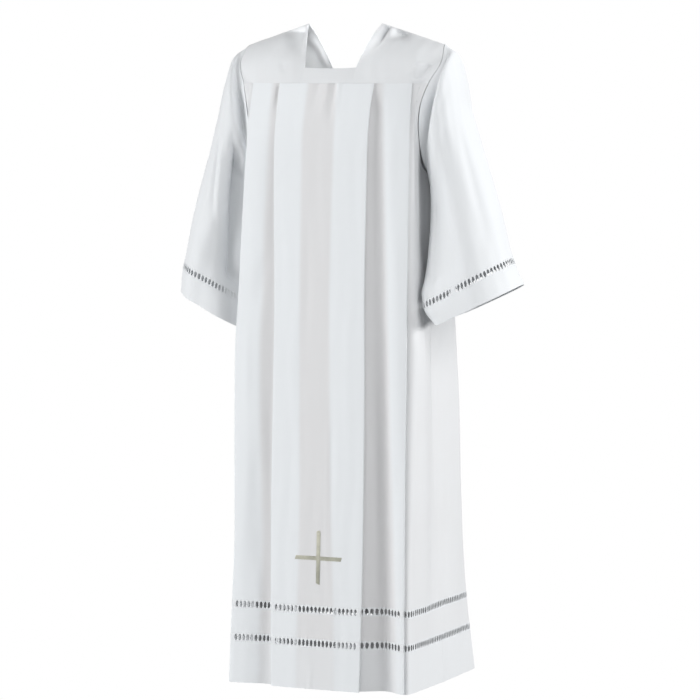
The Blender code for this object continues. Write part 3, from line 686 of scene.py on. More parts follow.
@dataclass
class YokeSurface:
    """Front or back yoke: two straps over the shoulders and the strip below the neckline."""

    side: Side
    body: BodySurface
    neck_point: tuple[float, float, float] = (88.0, 0.0, 0.0)
    neck_row: float = 0.75      # share of a strap's length at the neckline's corner
    strap_bow: float = 9.0      # how far the neck edge bows upwards
    neck_dip: float = 2.0       # how far the neckline's middle lies lower
    neck_bow: float = 8.0       # and how far it lies further out
    tuck_middle: float = 1.0    # the seam lies this far behind the outermost layer
    tuck_outer: float = 5.5     # and this much further at its ends
    bend: float = 0.2           # last share of the seam, which bends in to the armhole

    def __post_init__(self) -> None:
        """Find the neckline's corner and the seam's ends."""
        self.corner = np.array(NECK_CORNER[self.side])
        self.corner_x = float(self.corner[0])
        self.seam_end = armhole(np.array([SEAM_TURN[self.side]]))[0]

    def seam(self, across: Array) -> Array:
        """Points of the yoke's lower seam."""
        row = {name: value[0] for name, value in self.body.section(np.array([YOKE_Z[self.side]])).items()}
        end_x, end_y, end_z = self.seam_end
        share = np.minimum(np.abs(across) / end_x, 1.0)
        out = row["mid"] - (row["mid"] - row["edge"]) * (np.abs(across) / row["fold_l"]) ** BOW
        out = out - self.tuck_middle - self.tuck_outer * share
        out = out + (abs(end_y) - out) * np.maximum(0.0, (share - (1 - self.bend)) / self.bend) ** 2
        return np.stack([across, out * self.side.outward, 0 * across + end_z], axis=1)

    def neck_edge(self, share: Array) -> Array:
        """Neck edge from the neck point down to the corner, then on down to the seam."""
        part = (share / self.neck_row)[:, None]
        upper = np.array(self.neck_point) * (1 - part) + self.corner * part
        upper[:, 2] += self.strap_bow * np.sin(math.pi * np.clip(part[:, 0], 0, 1))
        low = ((share - self.neck_row) / (1 - self.neck_row))[:, None]
        foot = self.seam(np.array([self.corner_x]))[0]
        return np.where(part <= 1, upper, self.corner * (1 - low) + foot * low)

    def strap(self, across: Array, share: Array) -> Array:
        """Strap on the wearer's left; across from the neck to the armhole, share down to the seam."""
        start, tip, seam_turn = np.array(self.neck_point), ARMHOLE[SHOULDER_TIP], SEAM_TURN[self.side]
        front = self.side is Side.FRONT
        turn = seam_turn * share if front else FULL_TURN - (FULL_TURN - seam_turn) * share
        end_x = self.seam_end[0]
        a, s = across[:, None], share[:, None]
        shoulder = start * (1 - a) + tip * a
        seam = self.seam(self.corner_x + (end_x - self.corner_x) * across)
        foot, outer = self.seam(np.array([self.corner_x, end_x]))
        corners = (1 - a) * (1 - s) * start + a * (1 - s) * tip + (1 - a) * s * foot + a * s * outer
        return (1 - s) * shoulder + s * seam + (1 - a) * self.neck_edge(share) + a * armhole(turn) - corners

    def strip(self, across: Array, share: Array) -> Array:
        """Strip below the neckline; across from -1 to 1, share from the neckline to the seam."""
        side = self.neck_edge(self.neck_row + (1 - self.neck_row) * share)
        middle = 1 - across ** 2
        point = np.stack([side[:, 0] * across, side[:, 1] + self.side.outward * self.neck_bow * middle,
                          side[:, 2] - self.neck_dip * middle], axis=1)
        part = share[:, None]
        return point * (1 - part) + self.seam(self.corner_x * across) * part


# ---- materials ----
class Maths:
    """One value in a node tree; sums and products of it add Math nodes."""

    def __init__(self, tree: bpy.types.NodeTree, socket: bpy.types.NodeSocket) -> None:
        """Wrap an output socket."""
        self.tree, self.socket = tree, socket

    def step(self, kind: str, *others: Maths | float) -> Maths:
        """Add one Math node that starts with this value."""
        node = self.tree.nodes.new("ShaderNodeMath")
        node.operation = kind
        for slot, value in enumerate((self, *others)):
            if isinstance(value, Maths):
                self.tree.links.new(value.socket, node.inputs[slot])
            else:
                node.inputs[slot].default_value = value
        return Maths(self.tree, node.outputs[0])

    def __add__(self, other: Maths | float) -> Maths:
        """Sum."""
        return self.step("ADD", other)

    __radd__ = __add__

    def __sub__(self, other: Maths | float) -> Maths:
        """Difference."""
        return self.step("SUBTRACT", other)

    def __rsub__(self, other: float) -> Maths:
        """Difference, the number first."""
        return (self * -1.0) + other

    def __mul__(self, other: Maths | float) -> Maths:
        """Product."""
        return self.step("MULTIPLY", other)

    __rmul__ = __mul__

    def sine(self) -> Maths:
        """Sine."""
        return self.step("SINE")

    def within(self) -> Maths:
        """Clamped between 0 and 1."""
        return self.step("MINIMUM", 1.0).step("MAXIMUM", 0.0)


class Shader:
    """A new material whose nodes are added one by one."""

    def __init__(self, name: str) -> None:
        """Start from the plain Principled shader."""
        self.material = bpy.data.materials.new(name)
        self.material.use_nodes = True
        self.tree = self.material.node_tree
        self.surface = self.tree.nodes["Principled BSDF"]

    def node(self, kind: str, settings: dict[str, object] | None = None,
             **inputs: object) -> bpy.types.Node:
        """Add a node.

        Args:
            kind: the node's type.
            settings: its own settings, set before its sockets.
            inputs: values or links of its sockets, by name with _ for a space.

        Returns:
            The node.
        """
        made = self.tree.nodes.new(kind)
        for key, value in (settings or {}).items():
            setattr(made, key, value)
        self.feed_all(made, inputs)
        return made

    def feed(self, socket: bpy.types.NodeSocket, value: object) -> None:
        """Link a socket or set its value."""
        if isinstance(value, Maths):
            value = value.socket
        if isinstance(value, bpy.types.NodeSocket):
            self.tree.links.new(value, socket)
        else:
            socket.default_value = value

    def feed_all(self, node: bpy.types.Node, inputs: dict[str, object]) -> None:
        """Link or set sockets of a node, named with _ for a space."""
        for key, value in inputs.items():
            self.feed(node.inputs[key.replace("_", " ")], value)

    def finish(self, **inputs: object) -> bpy.types.Material:
        """Link or set the surface's sockets and return the material."""
        self.feed_all(self.surface, inputs)
        return self.material

    def value(self, socket: bpy.types.NodeSocket) -> Maths:
        """An output socket as a value for sums."""
        return Maths(self.tree, socket)

    def axes(self, vector: bpy.types.NodeSocket) -> list[Maths]:
        """X, Y and Z of a vector."""
        return [self.value(socket) for socket in self.node("ShaderNodeSeparateXYZ", Vector=vector).outputs]

    def noise(self, vector: bpy.types.NodeSocket, scale: float, detail: float, roughness: float,
              axes: str = "3D") -> Maths:
        """Noise about 0, from -0.5 to 0.5."""
        made = self.node("ShaderNodeTexNoise", {"noise_dimensions": axes}, Vector=vector, Scale=scale,
                         Detail=detail, Roughness=roughness)
        return self.value(made.outputs["Fac"]) - 0.5

    def mix(self, share: Maths, first: object, second: object) -> bpy.types.NodeSocket:
        """Colour between two colours."""
        node = self.node("ShaderNodeMix", {"data_type": "RGBA"})
        # A Mix node has its colours on sockets 6 and 7, and the mixed one on 2.
        for place, value in ((0, share), (6, first), (7, second)):
            self.feed(node.inputs[place], value)
        return node.outputs[2]

    def bump(self, height: Maths, distance: float, strength: float) -> bpy.types.NodeSocket:
        """Normal of a surface with a height of its own."""
        made = self.node("ShaderNodeBump", Height=height, Distance=distance, Strength=strength)
        return made.outputs["Normal"]


@dataclass(frozen=True)
class ClothFinish:
    """Fine white plain-weave cloth with painted see-through light: greyer where it lies single over the dark
    inside, a little brighter where it lies double.
    """

    name: str = "alb_cloth"
    # Painted see-through light: the single colour is painted shade of the dark inside showing through one
    # layer, the double colour painted light from the layers behind.
    single: Colour = (0.735, 0.735, 0.742, 1.0)
    double: Colour = (0.80, 0.825, 0.845, 1.0)
    yarn: float = 0.00045       # metres from one yarn to the next
    warp: tuple[float, float, float] = (900.0, 14.0, 1.0)      # streaks a metre, across and along
    weft: tuple[float, float, float] = (18.0, 760.0, 1.0)
    clouds: float = 9.0         # the same for faint clouds
    streak_tone: float = 0.22   # how far streaks and clouds move the tone
    cloud_tone: float = 0.25
    roughness: float = 0.82
    streak_roughness: float = 0.08
    weave_depth: float = 0.00003
    slub_depth: float = 0.00010
    bump: float = 0.6
    sheen: float = 0.15
    sheen_roughness: float = 0.5
    specular: float = 0.25

    def build(self) -> bpy.types.Material:
        """Make the material."""
        shader = Shader(self.name)
        uv = shader.node("ShaderNodeUVMap", {"uv_map": "UVMap"}).outputs["UV"]
        across, along, _ = shader.axes(uv)
        turn = math.pi / self.yarn
        over = (across * turn).sine() * (along * turn).sine()
        warp, weft = (shader.noise(shader.node("ShaderNodeMapping", Vector=uv, Scale=scale).outputs[0],
                                   1.0, 2.0, 0.6, "2D") for scale in (self.warp, self.weft))
        cloud = shader.noise(uv, self.clouds, 3.0, 0.55, "2D")
        # The backing attribute mixes the painted shade of a lone layer with the painted light of layers
        # behind.
        layer = shader.node("ShaderNodeAttribute", {"attribute_name": "backing"})
        share = shader.value(layer.outputs["Fac"]) + warp * self.streak_tone + weft * self.streak_tone
        tone_with_painted_light = shader.mix((share + cloud * self.cloud_tone).within(), self.single, self.double)
        rough = warp * self.streak_roughness + weft * self.streak_roughness + self.roughness
        height = over * self.weave_depth + (warp + weft) * self.slub_depth
        return shader.finish(Base_Color=tone_with_painted_light, Roughness=rough, Normal=shader.bump(height, 1.0, self.bump),
                             Sheen_Weight=self.sheen, Sheen_Roughness=self.sheen_roughness,
                             Specular_IOR_Level=self.specular)


@dataclass(frozen=True)
class ThreadFinish:
    """Twisted thread with a low sheen."""

    name: str
    light: Colour
    dark: Colour
    twist: float                # metres from one twist to the next
    roughness: float
    # Painted sheen of the stitches' direction, as how much more of the dark tone there is: a metre towards
    # +X, a metre down, and at the origin.
    fade: tuple[float, float, float] = (0.0, 0.0, 0.0)
    fibres: float = 420.0       # fibres and dull patches a metre
    patches: float = 38.0
    ply_tone: float = 0.35      # how far twist, fibres and patches move the tone
    fibre_tone: float = 0.9
    patch_tone: float = 1.2
    fibre_roughness: float = 0.2
    depth: float = 0.0001       # metres
    bump: float = 0.5
    sheen: float = 0.2
    specular: float = 0.3

    def build(self) -> bpy.types.Material:
        """Make the material."""
        shader = Shader(self.name)
        place = shader.node("ShaderNodeTexCoord").outputs["Object"]
        x, _, z = shader.axes(place)
        ply = ((x + z) * (2 * math.pi / self.twist)).sine() * 0.5
        noise = shader.noise(place, self.fibres, 3.0, 0.6)
        patch = shader.noise(place, self.patches, 2.0, 0.5)
        across, down, level = self.fade
        painted_sheen_drift = x * across - z * down + level
        share = ply * self.ply_tone + noise * self.fibre_tone + patch * self.patch_tone + painted_sheen_drift + 0.5
        return shader.finish(Base_Color=shader.mix(share.within(), self.light, self.dark),
                             Roughness=noise * self.fibre_roughness + self.roughness,
                             Normal=shader.bump(ply + noise, self.depth, self.bump),
                             Sheen_Weight=self.sheen, Specular_IOR_Level=self.specular)


@dataclass(frozen=True)
class StageFinish:
    """Plain white floor and surround that glow by themselves."""

    name: str = "studio_white"
    black: Colour = (0.0, 0.0, 0.0, 1.0)
    white: Colour = (1.0, 1.0, 1.0, 1.0)
    glow: float = 1.0

    def build(self) -> bpy.types.Material:
        """Make the material."""
        return Shader(self.name).finish(Base_Color=self.black, Emission_Color=self.white,
                                        Emission_Strength=self.glow, Roughness=1.0, Specular_IOR_Level=0.0)


# The cross is painted darker downwards and towards +X, as painted shade from its stitches' sheen.
CROSS_THREAD = ThreadFinish("cross_thread", light=(0.66, 0.65, 0.55, 1.0), dark=(0.42, 0.42, 0.35, 1.0),
                            twist=0.0012, roughness=0.55, fade=(4.0, 9.0, -10.5))
SEWING_THREAD = ThreadFinish("sewing_thread", light=(0.82, 0.84, 0.86, 1.0), dark=(0.66, 0.68, 0.70, 1.0),
                             twist=0.0008, roughness=0.7)


# ---- mesh making ----
def only(piece: bpy.types.Object) -> None:
    """Select one object alone and make it active."""
    bpy.ops.object.select_all(action="DESELECT")
    piece.select_set(True)
    bpy.context.view_layer.objects.active = piece


@contextmanager
def whole_mesh(piece: bpy.types.Object) -> Iterator[None]:
    """Edit mode with everything of one object selected."""
    only(piece)
    bpy.ops.object.mode_set(mode="EDIT")
    bpy.ops.mesh.select_all(action="SELECT")
    yield
    bpy.ops.object.mode_set(mode="OBJECT")


def thicken(piece: bpy.types.Object, thickness: float = CLOTH_THICK) -> None:
    """Give a sheet its thickness, half to each side."""
    only(piece)
    modifier = piece.modifiers.new("Solidify", "SOLIDIFY")
    modifier.thickness, modifier.offset = thickness * MM, 0.0
    modifier.use_even_offset, modifier.thickness_clamp = True, 1.0
    bpy.ops.object.modifier_apply(modifier=modifier.name)


def set_backing(mesh: bpy.types.Mesh, values: Array) -> None:
    """Keep the share of backing behind the cloth as an attribute of the mesh's points, for the painted
    see-through light.
    """
    mesh.attributes.new("backing", "FLOAT", "POINT").data.foreach_set("value", values.ravel())


def set_uv(mesh: bpy.types.Mesh, layer: bpy.types.MeshUVLoopLayer, places: Array) -> None:
    """Give each point its place on the flat cloth, in metres."""
    loops = np.zeros(len(mesh.loops), int)
    mesh.loops.foreach_get("vertex_index", loops)
    layer.data.foreach_set("uv", places[loops].ravel())


def grid_piece(name: str, points: Array, flip: bool = False, closed: bool = False,
               backing: Array | None = None) -> bpy.types.Object:
    """A sheet from a grid of points.

    Args:
        name: the piece's name.
        points: rows x columns x 3, millimetres.
        flip: whether the faces are turned over.
        closed: whether the last column meets the first.
        backing: rows x columns of the share of backing behind the cloth, which sets its painted see-through
            light.

    Returns:
        The object, without thickness.
    """
    if backing is None:
        backing = np.full(points.shape[:2], PLAIN_BACKING)
    if flip:
        points, backing = points[::-1], backing[::-1]
    rows, columns = points.shape[:2]
    bpy.ops.object.select_all(action="DESELECT")
    bpy.ops.mesh.primitive_grid_add(x_subdivisions=columns - 1, y_subdivisions=rows - 1, size=1.0)
    piece = bpy.context.active_object
    piece.name = piece.data.name = name
    mesh = piece.data
    mesh.vertices.foreach_set("co", (points.reshape(-1, 3) * MM).ravel())
    across = path_lengths(points[rows // 2]) * MM
    steps = np.linalg.norm(np.diff(points, axis=0), axis=2).mean(axis=1)
    along = np.concatenate([[0.0], np.cumsum(steps)]) * MM
    mesh.uv_layers[0].name = "UVMap"
    set_uv(mesh, mesh.uv_layers[0], np.stack(np.meshgrid(across, along), axis=2).reshape(-1, 2))
    set_backing(mesh, backing)
    mesh.update()
    if closed:
        with whole_mesh(piece):
            bpy.ops.mesh.remove_doubles(threshold=WELD)
    return piece


def mesh_piece(name: str, points: Array, faces: Sequence[Sequence[int]]) -> bpy.types.Object:
    """An object of loose points, in millimetres, and faces."""
    mesh = bpy.data.meshes.new(name)
    mesh.from_pydata((points * MM).tolist(), [], faces)
    mesh.update()
    piece = bpy.data.objects.new(name, mesh)
    bpy.context.scene.collection.objects.link(piece)
    return piece


def joined(pieces: Sequence[bpy.types.Object], name: str, within: float) -> bpy.types.Object:
    """Join several objects into one, merging points nearer than "within" metres."""
    only(pieces[0])
    for piece in pieces:
        piece.select_set(True)
    bpy.ops.object.join()
    whole = bpy.context.active_object
    whole.name = whole.data.name = name
    with whole_mesh(whole):
        bpy.ops.mesh.remove_doubles(threshold=within)
    return whole


def equal_stops(points_at: PointsAt, level: float, start: float, end: float, samples: int = 401) -> Array:
    """Divide a level line of a surface into equal lengths of about one hole pitch."""
    places = np.linspace(start, end, samples)
    lengths = path_lengths(points_at(places, np.full(samples, level)))
    count = max(1, round(lengths[-1] / HOLE_PITCH))
    return np.interp(np.linspace(0, lengths[-1], count + 1), lengths, places)


@dataclass(frozen=True)
class OpenworkCell:
    """One gap of the openwork with half a bundle of threads at each side."""

    levels: tuple[float, ...] = (
        -1.0, -0.9, -0.805, -0.66, -0.42, -0.16, 0.16, 0.42, 0.66, 0.805, 0.9, 1.0)
    strands: int = 4            # points from the middle of a bundle to the gap's edge
    plump: float = 0.45         # how far the middle of a bundle stands out
    taper: float = 0.15         # share of half the band over which it flattens
    corner: float = 0.55        # 0.5 makes the gap an ellipse, more makes its ends sharper

    def sheet(self) -> tuple[Array, list[tuple[int, ...]]]:
        """Points and faces of one cell.

        Returns:
            Points as (share across, share up from -1 to 1, lift in millimetres), and faces.
        """
        points: list[tuple[float, float, float]] = []
        reach = HOLE_TALL / OPENWORK_TALL
        for up in self.levels:
            open_share = max(0.0, 1 - (up / reach) ** 2) ** self.corner * GAP_WIDE / HOLE_PITCH / 2
            plump = self.plump * float(ramp(np.array((reach - abs(up)) / self.taper)))
            for half in (0, 1):
                for strand in range(self.strands):
                    part = strand / (self.strands - 1)
                    away = (0.5 - open_share) * part
                    points.append((away if half == 0 else 1 - away, up, plump * (1 - part ** 2)))
        wide = 2 * self.strands
        faces = []
        for row in range(len(self.levels) - 1):
            for half in (0, 1):
                for strand in range(self.strands - 1):
                    a = row * wide + half * self.strands + strand
                    quad = (a, a + 1, a + 1 + wide, a + wide)
                    faces.append(quad if half == 0 else quad[::-1])
        return np.array(points), faces


def openwork_piece(name: str, surface: Surface, ends: Sequence[float], centre: float, flip: bool,
                   downward: float) -> bpy.types.Object:
    """An openwork band along a level line.

    Args:
        name: the piece's name.
        surface: the creased surface that it lies on.
        ends: places between which the bundles are spaced evenly.
        centre: the band's middle level.
        flip: whether the faces are turned over.
        downward: -1 where the level rises towards the hem, 1 where it falls.

    Returns:
        The object, with its thickness.
    """
    cell, cell_faces = OpenworkCell().sheet()
    if flip:
        cell_faces = [face[::-1] for face in cell_faces]
    first, faces, spots = [], [], []
    for run in (equal_stops(surface.plain, centre, start, end) for start, end in zip(ends, ends[1:])):
        for start, end in zip(run, run[1:]):
            faces += [tuple(len(first) * len(cell) + n for n in face) for face in cell_faces]
            flat = [(len(first) + cell[:, 0]) * HOLE_PITCH, cell[:, 1] * OPENWORK_TALL / 2]
            spots.append(np.stack(flat, axis=1))
            first.append(start + (end - start) * cell[:, 0])
    place, up, lift = np.concatenate(first), np.tile(cell[:, 1], len(first)), np.tile(cell[:, 2], len(first))
    level = centre + up * OPENWORK_TALL / 2 * downward
    points = surface.points(place, level) + surface.normals(place, level) * lift[:, None]
    piece = mesh_piece(name, points, faces)
    set_uv(piece.data, piece.data.uv_layers.new(name="UVMap"), np.concatenate(spots) * MM)
    set_backing(piece.data, np.full(len(points), THREAD_BACKING))
    with whole_mesh(piece):
        bpy.ops.mesh.remove_doubles(threshold=WELD)
    thicken(piece, OPENWORK_THICK)
    return piece


@dataclass
class StitchWork:
    """Raised stitches of one thread, modelled once and copied along every seam."""

    name: str
    radius: float = 0.45
    bottom: float = -0.35       # a stitch is cut flat at this height, in radii
    points: list[Array] = field(default_factory=list)
    faces: list[tuple[int, ...]] = field(default_factory=list)

    def __post_init__(self) -> None:
        """Model one stitch: a bead that lies along X and is flat below."""
        bpy.ops.object.select_all(action="DESELECT")
        bpy.ops.mesh.primitive_uv_sphere_add(segments=6, ring_count=4, radius=1.0)
        bead = bpy.context.active_object
        with whole_mesh(bead):
            bpy.ops.transform.rotate(value=math.pi / 2, orient_axis="Y", center_override=(0.0, 0.0, 0.0))
            bpy.ops.mesh.bisect(plane_co=(0.0, 0.0, self.bottom), plane_no=(0.0, 0.0, 1.0),
                                clear_inner=True, use_fill=True)
        self.bead = np.array([vertex.co[:] for vertex in bead.data.vertices])
        self.bead_faces = [tuple(face.vertices) for face in bead.data.polygons]
        bpy.data.objects.remove(bead)

    def add(self, path: Array, normals: Array, pitch: float, long: float, slant: float = 0.0) -> None:
        """Lay stitches along a path.

        Args:
            path: points of the seam, millimetres.
            normals: outward normals there.
            pitch: distance from one stitch to the next.
            long: length of a stitch.
            slant: how far each stitch leans off the path, radians.
        """
        lengths = path_lengths(path)
        count = max(1, int(lengths[-1] / pitch))
        centres = (np.arange(count) + 0.5) * lengths[-1] / count

        def along(at: Array, table: Array) -> Array:
            """Rows of a table at distances along the path."""
            return np.stack([np.interp(at, lengths, column) for column in table.T], axis=1)

        middle, up = along(centres, path), unit(along(centres, normals))
        ahead = unit(along(centres + pitch / 4, path) - along(centres - pitch / 4, path))
        lean = ahead * math.cos(slant) + np.cross(up, ahead) * math.sin(slant)
        axes = np.stack([lean * long / 2, np.cross(up, lean) * self.radius, up * self.radius], axis=1)
        base = sum(len(part) for part in self.points)
        self.points.append((middle[:, None] + np.einsum("vk,nkd->nvd", self.bead, axes)).reshape(-1, 3))
        self.faces += [tuple(base + n * len(self.bead) + k for k in face)
                       for n in range(count) for face in self.bead_faces]

    def build(self) -> bpy.types.Object:
        """Make the mesh."""
        piece = mesh_piece(self.name, np.concatenate(self.points), self.faces)
        with whole_mesh(piece):
            bpy.ops.mesh.normals_make_consistent(inside=False)
        return piece


def hemstitches(name: str, surface: Surface, centres: Sequence[float], spans: Sequence[tuple[float, float]],
                samples: int) -> bpy.types.Object:
    """Rows of stitches above and below openwork bands.

    Args:
        name: the piece's name.
        surface: the surface they lie on.
        centres: the middle level of each band.
        spans: places between which they are laid.
        samples: points taken along each span.

    Returns:
        The object.
    """
    work = StitchWork(name)
    for centre in centres:
        for level in (centre - BORDER_OFF, centre + BORDER_OFF):
            for start, end in spans:
                place, levels = np.linspace(start, end, samples), np.full(samples, level)
                normals = surface.normals(place, levels)
                work.add(surface.points(place, levels) + normals * CLOTH_THICK / 2, normals,
                         HEMSTITCH_PITCH, HEMSTITCH_LONG)
    return work.build()


# ---- fixing a piece to the frame ----
@dataclass(frozen=True)
class Cut:
    """Flat size of a piece before it was sewn, in metres; share is how much of the oblong is cloth."""

    width: float
    length: float
    share: float = 1.0


def place_piece(piece: bpy.types.Object, material: bpy.types.Material, nodes: Sequence[str] = (),
                cut: Cut | None = None) -> None:
    piece.data.materials.clear()
    piece.data.materials.append(material)
    only(piece)
    bpy.ops.object.shade_smooth_by_angle(angle=SMOOTH_ANGLE)
    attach(piece, "root")
    if nodes:
        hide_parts(*nodes)
    if cut:
        cut.width * cut.length * cut.share
    LOG.info("%s: %d faces", piece.name, len(piece.data.polygons))


# ---- the robe's sub-assemblies ----
def spread(counts: Sequence[int]) -> Array:
    """All places of a whole section, from the wearer's right side to the left."""
    half = [span + k / count for span, count in enumerate(counts) for k in range(count)] + [float(SPANS)]
    return np.array([-p for p in reversed(half[1:])] + half)


@dataclass
class Body:
    """Front or back of the robe below the yoke."""

    side: Side
    cloth: bpy.types.Material
    thread: bpy.types.Material
    counts: tuple[int, ...] = (26, 6, 16, 6, 34, 6, 10, 6, 8, 10, 14)       # faces across each span
    step: float = 7.5           # height of a face
    hem_backing: float = 0.45   # backing that the hem's second layer gives everywhere
    # The bundles of the openwork are spaced evenly between these places.
    runs: tuple[float, ...] = (-11.0, -7.5, -5.5, -3.5, -1.5, 1.5, 3.5, 5.5, 7.5, 11.0)
    # The hemstitches are laid where the cloth shows.
    shown: tuple[tuple[float, float], ...] = (
        (-10.99, -9.1), (-4.97, -4.2), (-0.97, 0.97), (4.2, 4.97), (9.1, 10.99))
    samples: int = 1201         # points taken to measure the cut

    def __post_init__(self) -> None:
        """Make the surface."""
        self.surface = BodySurface(self.side, FRONT_CREASES if self.side is Side.FRONT else BACK_CREASES)

    def sheet(self, name: str, top: float, bottom: float) -> bpy.types.Object:
        """One piece between two heights."""
        places = spread(self.counts)
        levels = np.linspace(bottom, top, max(3, round((top - bottom) / self.step) + 1))
        place, level = (grid.ravel() for grid in np.meshgrid(places, levels))
        shape = (len(levels), len(places))
        points = self.surface.points(place, level).reshape(*shape, 3)
        backing = self.surface.backing(place, level).reshape(shape)
        # The turned-up hem gets more of the painted see-through light.
        if name.startswith("hem"):
            backing = self.hem_backing + (1 - self.hem_backing) * backing
        piece = grid_piece(f"{name}_cloth", points, flip=self.side is Side.BACK, backing=backing)
        thicken(piece)
        return piece

    def build(self) -> None:
        """Make and dress every piece."""
        side = self.side.value
        half = OPENWORK_TALL / 2
        for name, high, low, above in (
                ("skirt", YOKE_Z[self.side], OPENWORK_UPPER_Z + half, "yoke"),
                ("skirt_band", OPENWORK_UPPER_Z - half, OPENWORK_LOWER_Z + half, "openwork_upper"),
                ("hem", OPENWORK_LOWER_Z - half, HEM_Z, "openwork_lower")):
            node = f"{name}_{side}"
            place_piece(self.sheet(node, high, low), self.cloth, [node],
                        self.cut(name, high - low))
        for name, centre, above in (("openwork_upper", OPENWORK_UPPER_Z, "skirt"),
                                    ("openwork_lower", OPENWORK_LOWER_Z, "skirt_band")):
            node = f"{name}_{side}"
            piece = openwork_piece(f"{node}_threads", self.surface, self.runs, centre,
                                   flip=self.side is Side.BACK, downward=1.0)
            place_piece(piece, self.cloth, [node], self.cut(name, OPENWORK_TALL, OPENWORK_CLOTH))
        borders = hemstitches(f"openwork_borders_{side}", self.surface,
                              (OPENWORK_UPPER_Z, OPENWORK_LOWER_Z), self.shown, samples=160)
        place_piece(borders, self.thread)

    def cut(self, name: str, height: float, share: float = 1.0) -> Cut:
        """Flat size of a piece of the given height."""
        places = np.linspace(-SPANS, SPANS, self.samples)
        level = HEM_Z if name == "hem" else OPENWORK_UPPER_Z
        line = self.surface.plain(places, np.full(self.samples, level))
        wide = float(np.linalg.norm(np.diff(line, axis=0), axis=1).sum())
        return Cut(wide * MM, height * MM, share)


@dataclass
class Sleeve:
    """One wide sleeve with its openwork band and hem."""

    hand: Hand
    cloth: bpy.types.Material
    thread: bpy.types.Material
    columns: int = 132          # faces round the sleeve
    step: float = 6.0           # length of a face
    # Sleeves get this much painted see-through light.
    backing: float = 0.8
    sleeve_cut: Cut = Cut(0.56, 0.49, 0.78)
    hem_cut: Cut = Cut(0.64, 0.05)
    openwork_cut: Cut = Cut(0.32, OPENWORK_TALL * MM, OPENWORK_CLOTH)

    def __post_init__(self) -> None:
        """Make the surface."""
        self.surface = SleeveSurface(self.hand, SLEEVE_CREASES[self.hand])

    def tube(self, name: str, start: float, end: float) -> bpy.types.Object:
        """One piece between two distances along the sleeve."""
        turns = np.linspace(0, FULL_TURN, self.columns + 1)
        levels = np.linspace(start, end, max(3, round((end - start) / self.step) + 1))
        turn, along = (grid.ravel() for grid in np.meshgrid(turns, levels))
        points = self.surface.points(turn, along).reshape(len(levels), len(turns), 3)
        points[:, -1] = points[:, 0]
        piece = grid_piece(f"{name}_cloth", points, flip=self.hand is Hand.RIGHT, closed=True,
                           backing=np.full(points.shape[:2], self.backing))
        thicken(piece)
        return piece

    def build(self) -> None:
        """Make and dress every piece."""
        hand = self.hand.value
        middle = (CUFF_TOP + CUFF_BOTTOM) / 2
        for name, start, end, cut, above in (
                ("sleeve", 0.0, CUFF_TOP, self.sleeve_cut, "yoke_front"),
                ("cuff_hem", CUFF_BOTTOM, CUFF_HEM, self.hem_cut, f"sleeve_{hand}")):
            node = f"{name}_{hand}"
            place_piece(self.tube(node, start, end), self.cloth, [node], cut)
        for half, ends in {"front": (0, UNDERARM), "back": (UNDERARM, FULL_TURN)}.items():
            node = f"cuff_openwork_{hand}_{half}"
            piece = openwork_piece(f"{node}_threads", self.surface, ends, middle,
                                   flip=self.hand is Hand.LEFT, downward=-1.0)
            place_piece(piece, self.cloth, [node], self.openwork_cut)
        borders = hemstitches(f"cuff_borders_{hand}", self.surface, (middle,), ((0.0, FULL_TURN),),
                              samples=400)
        place_piece(borders, self.thread)


